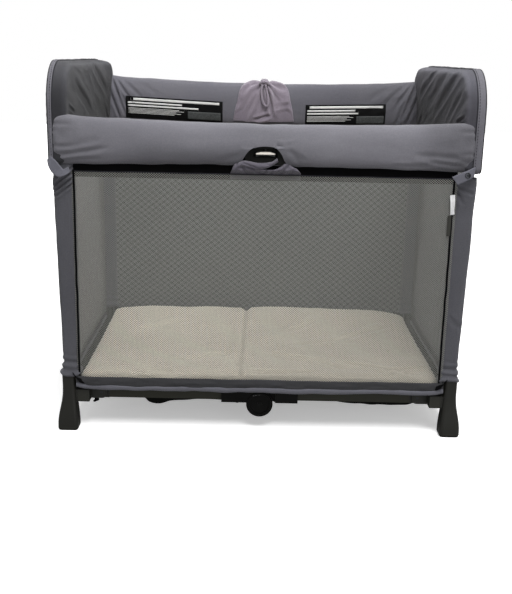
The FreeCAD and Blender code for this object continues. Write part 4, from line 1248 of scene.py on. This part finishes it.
# x, z, x, z, width, depth
DRAPE_FOLDS = (
    (-0.062, 0.646, -0.040, 0.622, 0.0035, 0.0026), (-0.030, 0.634, -0.004, 0.621, 0.0030, 0.0026),
    (0.004, 0.632, -0.004, 0.620, 0.0026, 0.0026), (0.020, 0.634, 0.012, 0.620, 0.0026, 0.0022),
    (0.052, 0.642, 0.034, 0.622, 0.0035, 0.0028), (0.070, 0.636, 0.052, 0.621, 0.0040, 0.0020),
)
ROLL_FOLDS = (
    (-0.050, 0.646, -0.020, 0.637, 0.0022, 0.0020), (-0.012, 0.644, 0.010, 0.643, 0.0020, 0.0016),
)


def front_drape():
    edge = smooth_curve(DRAPE_EDGE, 10)
    t = np.linspace(0, 1, 26)[None]
    x = edge[:, :1]
    z = DRAPE_FOOT + (edge[:, 1:] - DRAPE_FOOT) * t
    y = 0.3066 + 0.0130 * smooth(0.6190, 0.6320, z) - 0.0020 * smooth(0.85, 1.0, t) ** 2
    y = creases(x, z, DRAPE_FOLDS, y) + 0.0010 * fbm(x * 30, z * 60, 1.0, seed=131)
    y = np.where(z < 0.6205, np.minimum(y, 0.3078), y)
    sheet = thick_sheet("drape_sheet", points(x, -y, z), 0.0016)
    # its rolled upper edge hangs across the opening and turns up at the right
    top, low = smooth_curve(ROLL_TOP, 10), smooth_curve(ROLL_LOW, 10)
    t = np.linspace(0, 1, 16)[None]
    x, z = (low[:, [i]] + (top - low)[:, [i]] * t for i in (0, 1))
    y = 0.3222 + 0.0034 * np.sin(t * math.pi) - 0.0030 * smooth(0.7, 1.0, t) ** 2
    y = creases(x, z, ROLL_FOLDS, y + 0.0008 * fbm(x * 60, z * 70, 1.0, seed=133))
    roll = thick_sheet("drape_roll", points(x, -y, z), 0.0018)
    drape = fit(join("front_drape", [sheet, roll]), "drape", "top_front_left")
    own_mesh(drape)


front_drape()

# ---------------------------------------------------------------- gathered cover, back rail centre
KNOT_X, KNOT_Z = 0.001, 0.7965  # where the gathers meet
# x, z, x, z, width, depth
CENTRE_FOLDS = (
    (0.010, 0.780, 0.024, 0.712, 0.0045, 0.0060), (0.026, 0.735, 0.072, 0.742, 0.0045, 0.0030),
    (0.018, 0.712, -0.025, 0.700, 0.0042, 0.0040), (-0.010, 0.785, -0.052, 0.705, 0.0050, 0.0030),
)
# x, y, z
LOOP_LINE = (
    (-0.003, 0.272, 0.8015), (-0.0075, 0.2685, 0.780), (-0.0035, 0.2660, 0.752),
    (0.0065, 0.2655, 0.737), (0.0125, 0.2665, 0.748), (0.0095, 0.2675, 0.772),
    (0.0035, 0.2695, 0.795), (0.002, 0.273, 0.802),
)
KNOT_LINE = (
    (-0.010, 0.276, 0.799), (-0.003, 0.271, 0.8035), (0.006, 0.272, 0.802), (0.012, 0.277, 0.797),
)


def centre_cover():
    # the inner face, over the top, and a little way down the outside
    angle = np.radians(np.linspace(222, 62, 96))[:, None]
    across = np.linspace(-1, 1, 130)[None]
    z_mid = cover_points(0.0, angle, 1)[..., 2]
    over = 1 - smooth(math.radians(62), math.radians(112), angle)
    near_top = np.clip((z_mid - (z_mid.max() - 0.024)) / 0.024, 0, 1)
    # the corners are cut round where it goes over the top
    half = 0.0865 - 0.017 * smooth(0.68, 0.80, z_mid)
    half = half - 0.022 * (1 - np.sqrt(1 - 0.97 * near_top**2)) - 0.020 * over
    x = 0.0005 + across * half
    z = cover_points(x, angle, 1, inset=-0.0020)[..., 2]
    away = np.hypot(x - KNOT_X, z - KNOT_Z)
    turn = np.arctan2(x - KNOT_X, KNOT_Z - z + 0.006)
    rays = 0.5 + 0.5 * np.cos(turn * 13 + 1.6 * noise3(x * 30, z * 14, 1.0, seed=141))
    ridges = ridged(turn * 3.2, away * 18, 1.0, seed=143) * smooth(0.01, 0.05, away)
    swell = 0.0012 + 0.0056 * rays * bell(away - 0.012, 0.050) + 0.0026 * ridges
    swell = creases(x, z, CENTRE_FOLDS, swell + 0.0085 * bell(away, 0.012))
    hold = np.clip((1 - np.abs(across)) * 9, 0, 1) ** 0.6
    swell = np.clip(swell, 0.0004, 0.0135) * hold
    place = cover_points(x, angle, 1, inset=-0.0016 - swell, loose=0.016)
    cloth = fit(thick_sheet("centre_cover", place, 0.0012), "mauve")

    line = smooth_curve(LOOP_LINE, 10)
    radius = 0.0030 + 0.0006 * noise3(np.arange(len(line)) * 0.2, 1.0, 1.0, seed=145)
    loop = tube("centre_loop", line, radius, 12, squish=(1.0, 0.6))
    radius = np.array([0.002] + [0.0052] * 23 + [0.002])
    knot = tube("centre_knot", smooth_curve(KNOT_LINE, 8), radius, 14)
    for thing in (cloth, fit(join("centre_loop_knot", [loop, knot]), "mauve")):
        blend_at_hub(thing)


centre_cover()


# ---------------------------------------------------------------- patches inside the back rail
def face_y(x, z):
    """Y of the back rail cover's inner face at x, z."""
    angle = np.radians(np.linspace(110, 250, 240))
    x, z = np.broadcast_arrays(x, z)
    out = np.empty(x.shape)
    for i in range(len(x)):
        section = cover_points(float(x[i, 0]), angle, 1)
        section = section[np.argsort(section[:, 2])]
        out[i] = np.interp(z[i], section[:, 2], section[:, 1])
    return out


def on_face(name, line, span, drops, lift, thickness, counts):
    """A thin sheet on the inner face. line is x, z, x, z of the patch's top edge, span is the
    sheet's share of it, drops are depths below it and lift is the distance off the cover."""
    x0, z0, x1, z1 = line
    x = np.linspace(*span, counts[0])[:, None]
    z = z0 + (z1 - z0) * (x - x0) / (x1 - x0) - np.linspace(*drops, counts[1])[None]
    return thick_sheet(name, points(x, face_y(x, z) - lift, z), thickness)


# top edge x, z, x, z, and how far along the second and third bars end
PATCHES = {
    "left": ((-0.3885, 0.7573, -0.1157, 0.7465), 0.58, 0.75),
    "right": ((0.1184, 0.7424, 0.3447, 0.7491), 0.62, 0.66),
}
# depth and far end, as a share of the length, of the thin bars
THIN_BARS = ((0.0318, 0.55), (0.0352, 0.60), (0.0386, 0.52), (0.0420, 0.57), (0.0454, 0.50))


def patch(side, line, second_end, third_end):
    x0, z0, x1, z1 = line
    width = x1 - x0
    body = "top_back_" + side
    drops = (0.0, min(z0, z1) - 0.6865)
    sheet = on_face("patch_" + side, line, (x0, x1), drops, 0.0012, 0.0010, (80, 22))
    fit(sheet, "patch", body)
    # start and end along the patch, upper and lower depth
    bars = [(0.05, 0.965, 0.0042, 0.0108), (0.022, second_end, 0.0148, 0.0192),
            (0.022, third_end, 0.0228, 0.0272)]
    bars += [(0.022, end, depth, depth + 0.0012) for depth, end in THIN_BARS]
    pieces = []
    for i, (start, end, upper, lower) in enumerate(bars):
        span = (x0 + width * start, x0 + width * end)
        name = "bar_%s_%d" % (side, i)
        pieces.append(on_face(name, line, span, (upper, lower), 0.0019, 0.0005, (30, 4)))
    fit(join("patch_bars_" + side, pieces), "patch_pale", body)
    span = (x0 + width * 0.64, x1 - width * 0.02)
    drops = (0.0325, 0.0540)
    block = on_face("patch_block_" + side, line, span, drops, 0.0018, 0.0005, (30, 8))
    fit(block, "patch_grey", body)


for side, row in PATCHES.items():
    patch(side, *row)

# ---------------------------------------------------------------- tabs, tag and straps
# rows: centre x, y, z, then half the width as x, y, z
TAB_LEFT = (
    (-0.4755, -0.3270, 0.6480, 0.0030, 0, 0.0040),
    (-0.4690, TAB_Y, 0.6385, 0.0070, 0.001, 0.0070),
    (-0.4600, TAB_Y - 0.001, 0.6255, 0.0085, 0.002, 0.0078),
    (-0.4500, TAB_Y - 0.001, 0.6165, 0.0050, 0.003, 0.0085),
    (-0.4400, TAB_Y - 0.001, 0.6185, -0.0025, 0.004, 0.0060),
    (-0.4305, TAB_Y, 0.6245, -0.0022, 0.002, 0.0048),
)
TAB_RIGHT = (
    (0.4192, TAB_Y + 0.001, 0.6165, -0.0066, 0.001, 0.0086),
    (0.4330, TAB_Y - 0.0005, 0.6232, -0.0048, 0, 0.0094),
    (0.4470, TAB_Y - 0.0005, 0.6300, -0.0020, 0, 0.0102),
    (0.4613, TAB_Y + 0.0020, 0.6372, 0.0008, 0, 0.0109),
)
CARE_TAG = (
    (0.4202, -0.3135, 0.5825, 0.0054, 0, 0.0006),
    (0.4208, -0.3150, 0.5720, 0.0055, 0.0016, 0.0002),
    (0.4212, -0.3150, 0.5590, 0.0050, 0.0010, -0.0004),
    (0.4220, -0.3142, 0.5480, 0.0047, 0.0018, 0.0003),
    (0.4228, -0.3136, 0.5385, 0.0049, 0, 0.0010),
)
CORNER_WEB = (  # at the right back corner
    (0.4375, 0.3180, 0.1420, 0.0030, 0, 0.0050), (0.4300, 0.3195, 0.1330, 0.0035, 0, 0.0050),
    (0.4235, 0.3160, 0.1270, 0.0020, 0, 0.0060), (0.4150, 0.3140, 0.1235, 0.0010, 0, 0.0050),
)
STRAP_END = (
    (-0.3940, -0.2700, 0.0760, 0.0050, 0, 0.0006),
    (-0.3935, -0.2740, 0.0690, 0.0055, 0, 0),
    (-0.3920, -0.2735, 0.0620, 0.0045, 0.002, 0.0005),
    (-0.3960, -0.2700, 0.0580, 0.0030, 0.003, 0.0010),
    (-0.4010, -0.2690, 0.0600, 0.0020, 0.003, 0.0020),
)
SNAP_X, SNAP_Z = 0.4462, 0.6292


def snap():
    """Round snap on the right tab: two rings and a low dome."""
    a = np.linspace(0, 2 * math.pi, 40, endpoint=False)
    pieces = []
    for i, (ring, wire) in enumerate(((0.0056, 0.0010), (0.0026, 0.0008))):
        line = points(SNAP_X + ring * np.cos(a), TAB_Y - 0.0018, SNAP_Z + ring * np.sin(a))
        pieces.append(tube("snap_ring_%d" % i, line, wire, 10, closed=True))
    line = points(SNAP_X, TAB_Y - np.array([0.0004, 0.0016, 0.0021]), SNAP_Z)
    pieces.append(tube("snap_dome", line, np.array([0.0052, 0.0046, 0.0015]), 24))
    fit(join("tab_snap", pieces), "gunmetal", "right_end")


def corner_fill(side, end):
    """Small upright sheet that closes the border at the back corner."""
    x = side * np.linspace(0.4250, 0.4460, 8)[:, None]
    y = 0.3104 + 0.0006 * np.sin(np.linspace(0, 9, 8))[:, None]
    place = points(x, y, np.linspace(0.107, 0.152, 10)[None])
    fit(thick_sheet("corner_fill_" + end, place, 0.0012), "border", END[side])


tab = ribbon("tab_left", TAB_LEFT, thickness=0.0019, wrinkle=0.0006, seed=151)
fit(tab, "tab", "left_end")
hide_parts("corner_tab_left")
tab = ribbon("tab_right", TAB_RIGHT, thickness=0.0020, per=10, wrinkle=0.0006, seed=153)
fit(tab, "tab", "right_end")
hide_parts("corner_tab_right")
snap()
tag = ribbon("care_tag", CARE_TAG, thickness=0.0007, wrinkle=0.0012, seed=155)
fit(tag, "tag", "right_end")

for side, end in SIDES:
    for face, word in FACES:
        # webbing that ties the floor's corner to the leg
        rows = np.array(CORNER_WEB) * (side, face, 1, 1, 1, side)
        name = "corner_web_%s_%s" % (word, end)
        web = ribbon(name, rows, thickness=0.0020, per=6, wrinkle=0.0008, seed=157)
        fit(web, "dark", END[side])
    corner_fill(side, end)

# ---------------------------------------------------------------- floor cloth below the rails
SAG_TOP = 0.0982
# lower edge of the hanging cloth: x, z
SAG_EDGE = {
    "left": (
        (-0.372, 0.0690), (-0.330, 0.0640), (-0.288, 0.0640), (-0.268, 0.0480),
        (-0.242, 0.0450), (-0.215, 0.0530), (-0.184, 0.0560), (-0.144, 0.0580),
        (-0.093, 0.0580), (-0.064, 0.0525), (-0.050, 0.0520), (-0.040, 0.0740)),
    "right": (
        (0.030, 0.0740), (0.0385, 0.0550), (0.0625, 0.0590), (0.099, 0.0615),
        (0.150, 0.0600), (0.197, 0.0580), (0.277, 0.0545), (0.345, 0.0535),
        (0.375, 0.0590), (0.384, 0.0740)),
}
# section of the sag: distance in front of the middle, share of the full depth
SAG_SECTION = (
    (0.2545, 0.0), (0.2535, 0.30), (0.2520, 0.62), (0.2500, 0.86), (0.2470, 0.98),
    (0.2420, 1.0), (0.2340, 0.97), (0.2220, 0.86), (0.2050, 0.66), (0.1850, 0.40), (0.1600, 0.10),
)


def floor_sag(end):
    edge = smooth_curve(SAG_EDGE[end], 12)
    x, low = edge[:, :1], edge[:, 1:]
    out, depth = np.array(SAG_SECTION).T[:, None]
    z = SAG_TOP + (low - SAG_TOP) * depth
    z = z + 0.0016 * fbm(x * 22, out * 30, 1.0, seed=161) * depth
    sheet = thick_sheet("floor_sag_" + end, points(x, -out, z), 0.0014)
    fit(sheet, "floor_cloth", "base_" + end)
    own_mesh(sheet)


for side, end in SIDES:
    floor_sag(end)

# a loose strap end under the left bracket
strap = ribbon("strap_end_left", STRAP_END, thickness=0.0022, per=6, wrinkle=0.0006, seed=163)
fit(strap, "dark", "left_end")


# ---------------------------------------------------------------- pins and rivets at the base hubs
def edge_pin(end, x, z0, z1):
    y = -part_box("base_rails_right")[1].y - 0.0035
    radius = np.array([0.0004, 0.0011, 0.0012, 0.0012, 0.0012, 0.0012, 0.0011, 0.0004])
    pin = tube("edge_pin_hub_" + end, points(x, y, np.linspace(z0, z1, 8)), radius, 10)
    fit(pin, "steel", "base_" + end)


def hub_rivets():
    y = np.array([0.0, -0.0006, -0.0010]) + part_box("base_hubs_left")[0].y
    radius = np.array([0.0011, 0.0009, 0.0003])
    dots = [
        tube("dot%d" % i, points(x, y, 0.0860 + 0.0004 * i), radius, 10)
        for i, x in enumerate((-0.0150, -0.0085, -0.0010))]
    fit(join("hub_rivets", dots), "steel", "base_left")


edge_pin("left", x=-0.0905, z0=0.0750, z1=0.0835)
edge_pin("right", x=0.0737, z0=0.0745, z1=0.0815)
hub_rivets()

# ---------------------------------------------------------------- mattress
PAD_X, PAD_Y = 0.4330, 0.2945  # half length and half width
PAD_EDGE = 0.011  # how far the rounded rim stands out
PAD_RADII = (0.016, 0.034, 0.016, 0.014)  # front right, back right, back left, front left
PAD_Z0, PAD_Z1 = MATTRESS[0].z + 0.0005, MATTRESS[1].z - 0.0020
# x, y, x, y, width, depth
PAD_FOLDS = (
    (0.03, -0.13, 0.13, -0.175, 0.008, 0.0042), (0.13, -0.16, 0.20, -0.235, 0.010, 0.0036),
    (0.19, -0.19, 0.36, -0.262, 0.009, 0.0042), (0.29, -0.262, 0.41, -0.215, 0.0065, 0.0040),
    (0.06, 0.03, 0.16, 0.16, 0.014, 0.0032), (-0.02, -0.275, 0.13, -0.262, 0.007, 0.0034),
    (-0.34, 0.05, -0.20, 0.14, 0.016, 0.0020), (-0.20, -0.20, -0.05, -0.13, 0.016, 0.0018),
    (0.24, 0.02, 0.36, 0.13, 0.014, 0.0022), (0.10, -0.06, 0.25, 0.02, 0.012, 0.0018),
)
PAD_FOLD_SCALE = (1, 1, 1, 1, 0.8, 2.3)


def inflate(thing, pressure, cap, floor, frames):
    """Cloth with inner pressure: the pad swells between its edges. No point moves further
    than cap or ends below floor."""
    rest = read_points(thing.data)
    cloth = thing.modifiers.new("cloth", "CLOTH")
    settings = cloth.settings
    settings.use_pressure = True
    settings.uniform_pressure_force = pressure
    settings.mass, settings.quality = 0.3, 4
    settings.tension_stiffness = settings.compression_stiffness = 12
    settings.bending_stiffness = 1.2
    settings.effector_weights.gravity = 0
    cloth.collision_settings.use_collision = False
    cloth.collision_settings.use_self_collision = False
    cloth.point_cache.frame_start, cloth.point_cache.frame_end = 1, frames
    scene = bpy.context.scene
    for number in range(1, frames + 1):
        scene.frame_set(number)
    swollen = thing.evaluated_get(bpy.context.evaluated_depsgraph_get())
    move = read_points(swollen.to_mesh()) - rest
    swollen.to_mesh_clear()
    thing.modifiers.clear()
    scene.frame_set(1)
    length = np.linalg.norm(move, axis=1, keepdims=True)
    out = rest + move * np.minimum(1, cap / np.maximum(length, 1e-9))
    out[:, 2] = np.maximum(out[:, 2], floor)
    write_points(thing.data, out)


def plain_pad():
    """The pad before it is shaped: flat faces and a rounded rim."""
    x1, y1 = PAD_X - PAD_EDGE, PAD_Y - PAD_EDGE
    outline = []
    for (sx, sy), radius, start in zip(
            ((1, -1), (1, 1), (-1, 1), (-1, -1)), PAD_RADII, (-90, 0, 90, 180)):
        outline += arc(sx * (x1 - radius), sy * (y1 - radius), radius, start, 24, 23)
    edge, _ = resample(np.array(outline), 520)
    normal = outward(edge)
    middle = np.stack([np.clip(edge[:, 0], -0.24, 0.24), np.zeros(len(edge))], -1)

    def flat(z, shares):
        return [np.c_[middle + (edge - middle) * t, np.full(len(edge), z)] for t in shares]

    rows = flat(PAD_Z0, np.linspace(0, 1, 36))
    for degrees in np.linspace(-90, 90, 12)[1:-1]:
        c, s = math.cos(math.radians(degrees)), math.sin(math.radians(degrees))
        z = (PAD_Z0 + PAD_Z1) / 2 + (PAD_Z1 - PAD_Z0) / 2 * s
        rows.append(np.c_[edge + normal * PAD_EDGE * c, np.full(len(edge), z)])
    rows += flat(PAD_Z1, np.linspace(1, 0, 36))
    pad = grid("mattress_pad", np.array(rows), closed_v=True)
    face_outward(
        pad.data, lambda bm: bmesh.ops.remove_doubles(bm, verts=bm.verts, dist=1e-6))
    remesh = pad.modifiers.new("remesh", "REMESH")
    remesh.mode, remesh.voxel_size = "VOXEL", 0.0060
    apply_modifiers(pad)
    return pad


def shaped_pad(x, y, z):
    """The pad's points with its fold, swells and creases. up is 1 on the upper face."""
    up = smooth(PAD_Z0 + 0.008, PAD_Z1 - 0.003, z)
    # the fold across the middle, leaning a little, with the cloth drawn down into it
    off = x - (-0.043 + 0.020 * y)
    z = z - up * (0.0075 * bell(off, 0.0050) - 0.0026 * bell(np.abs(off) - 0.017, 0.011))
    # along the back it stands up, most of all just right of the fold
    rise = 0.0085 * (1 - smooth(0.30, 0.42, np.abs(x)))
    rise = rise + 0.0062 * bell(x - 0.055, 0.075) - 0.0045 * bell(off, 0.020)
    z = z + up * smooth(0.06, 0.285, y) * rise
    z = z + up * 0.0034 * fbm(x * 7, y * 7, 0.5, seed=121)
    # a ridge runs from the fold to the back right
    along = (x + 0.04) * 0.894 + (y + 0.03) * 0.447
    beside = -(x + 0.04) * 0.447 + (y + 0.03) * 0.894
    ridge = smooth(-0.03, 0.03, along) * (1 - smooth(0.12, 0.19, along))
    z = z + up * 0.0075 * bell(beside, 0.028) * ridge
    # with a hollow behind it
    hollow = smooth(-0.04, 0.0, x) * (1 - smooth(0.10, 0.18, x))
    z = z - up * 0.0055 * bell(y - 0.13, 0.045) * hollow
    z = z + up * creases(x, y, np.array(PAD_FOLDS) * PAD_FOLD_SCALE)
    z = z + up * 0.0011 * ridged(x * 11 + 2.0 * y, y * 11, 0.7, seed=127)
    rim = smooth(0.85, 1.0, np.maximum(np.abs(x) / PAD_X, np.abs(y) / PAD_Y))
    y = y + np.sign(y) * 0.0018 * fbm(x * 9, y * 9, z * 20, seed=123) * rim
    return points(x, y, np.maximum(z, PAD_Z0))


def mattress():
    pad = plain_pad()
    inflate(pad, pressure=3.0, cap=0.005, floor=PAD_Z0, frames=20)
    write_points(pad.data, shaped_pad(*read_points(pad.data).T))
    finer = pad.modifiers.new("sub", "SUBSURF")
    finer.levels = finer.render_levels = 1
    apply_modifiers(pad)
    shade_smooth(pad.data)
    return fit(pad, "mattress")


def split_x(thing, x, names):
    """Cuts a mesh at x into two objects, left and right."""
    halves = []
    for name, keep_left in zip(names, (True, False)):
        bm = bmesh.new()
        bm.from_mesh(thing.data)
        bmesh.ops.bisect_plane(
            bm, geom=bm.verts[:] + bm.edges[:] + bm.faces[:], plane_co=(x, 0, 0),
            plane_no=(1, 0, 0), clear_outer=keep_left, clear_inner=not keep_left)
        mesh = bpy.data.meshes.new(name)
        bm.to_mesh(mesh)
        bm.free()
        shade_smooth(mesh)
        halves.append(fit(add_object(name, mesh), "mattress"))
    bpy.data.objects.remove(thing)
    return halves


TIP_X = abs(PIVOT["fold"][0]) - 0.024  # |x| where the pad's tips begin
left_tip, rest = split_x(mattress(), -TIP_X, ("mattress_tip_left", "mattress_rest"))
middle, right_tip = split_x(rest, TIP_X, ("mattress_middle", "mattress_tip_right"))
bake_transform(middle)
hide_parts("mattress_left", "mattress_right")
for tip, (side, end) in zip((left_tip, right_tip), SIDES):
    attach(tip, "base_" + end)
    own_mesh(tip)


# ---------------------------------------------------------------- stage, light, camera
def stage_floor():
    mesh = bpy.data.meshes.new("floor")
    mesh.from_pydata([(-9, -9, 0), (9, -9, 0), (9, 9, 0), (-9, 9, 0)], [], [(0, 1, 2, 3)])
    floor = add_object("floor", mesh)
    mat = Shader("stage_floor")
    cloud = mat.noise(mat.coord(), scale=3.0, detail=3.0)
    eye = mat.node("LightPath").outputs["Is Camera Ray"]
    pale = mat.mix(mat.mul(cloud, 0.25), srgb(250, 250, 250), srgb(242, 242, 242))
    distance = mat.node("VectorMath", {0: mat.coord()}, operation="LENGTH").outputs["Value"]
    glow = mat.fade(distance, start=1.2, end=4.5, low=0.36, high=1.1)
    # pale to the camera, and less of it thrown back up at the object
    floor.data.materials.append(mat.finish(mat.mix(eye, srgb(150, 150, 150), pale), 0.95, {
        "Emission Color": (1, 1, 1, 1), "Emission Strength": mat.mul(eye, glow),
        "Specular IOR Level": 0.1}))


def studio_world():
    """A backdrop that is white to the camera, and a softer sky to the object."""
    world = bpy.data.worlds.new("studio")
    world.use_nodes = True
    tree = world.node_tree
    background = tree.nodes["Background"]
    background.inputs[0].default_value = (1, 1, 1, 1)
    path = tree.nodes.new("ShaderNodeLightPath")
    strength = tree.nodes.new("ShaderNodeMapRange")
    strength.inputs["To Min"].default_value = 0.50
    strength.inputs["To Max"].default_value = 1.0
    tree.links.new(path.outputs["Is Camera Ray"], strength.inputs["Value"])
    tree.links.new(strength.outputs[0], background.inputs[1])
    bpy.context.scene.world = world


def area_light(name, place, target, size, power):
    light = bpy.data.lights.new(name, "AREA")
    light.shape, light.size, light.size_y = "RECTANGLE", size[0], size[1]
    light.energy = power
    lamp = add_object(name, light)
    lamp.location = place
    lamp.rotation_euler = (Vector(target) - Vector(place)).to_track_quat("-Z", "Y").to_euler()


def camera(place, lens, yaw, pitch, roll):
    """Angles in radians: yaw to the right from +Y, pitch downward, roll about the view."""
    data = bpy.data.cameras.new("camera")
    data.sensor_fit = "AUTO"
    data.sensor_width = 36.0
    data.lens = lens
    level = math.cos(pitch)
    forward = Vector((math.sin(yaw) * level, math.cos(yaw) * level, -math.sin(pitch)))
    right = Vector((math.cos(yaw), -math.sin(yaw), 0))
    up = right.cross(forward)
    rolled_right = right * math.cos(roll) + up * math.sin(roll)
    rolled_up = -right * math.sin(roll) + up * math.cos(roll)
    matrix = Matrix((rolled_right, rolled_up, -forward)).transposed().to_4x4()
    matrix.translation = Vector(place)
    thing = add_object("camera", data)
    thing.matrix_world = matrix
    bpy.context.scene.camera = thing


stage_floor()
studio_world()
area_light("key", place=(0.40, -1.75, 3.05), target=(-0.05, -0.1, 0.5), size=(1.5, 1.5), power=118)
area_light("fill", place=(1.4, -3.0, 0.9), target=(0.0, 0.0, 0.35), size=(2.2, 1.4), power=16)
area_light("top", place=(-0.2, 0.6, 3.0), target=(0.0, 0.0, 0.3), size=(2.4, 2.0), power=46)
bpy.context.scene.view_settings.view_transform = "Standard"
camera(place=(-0.028, -2.319, 0.876), lens=54.71763636, yaw=0.007, pitch=0.262, roll=0.022)
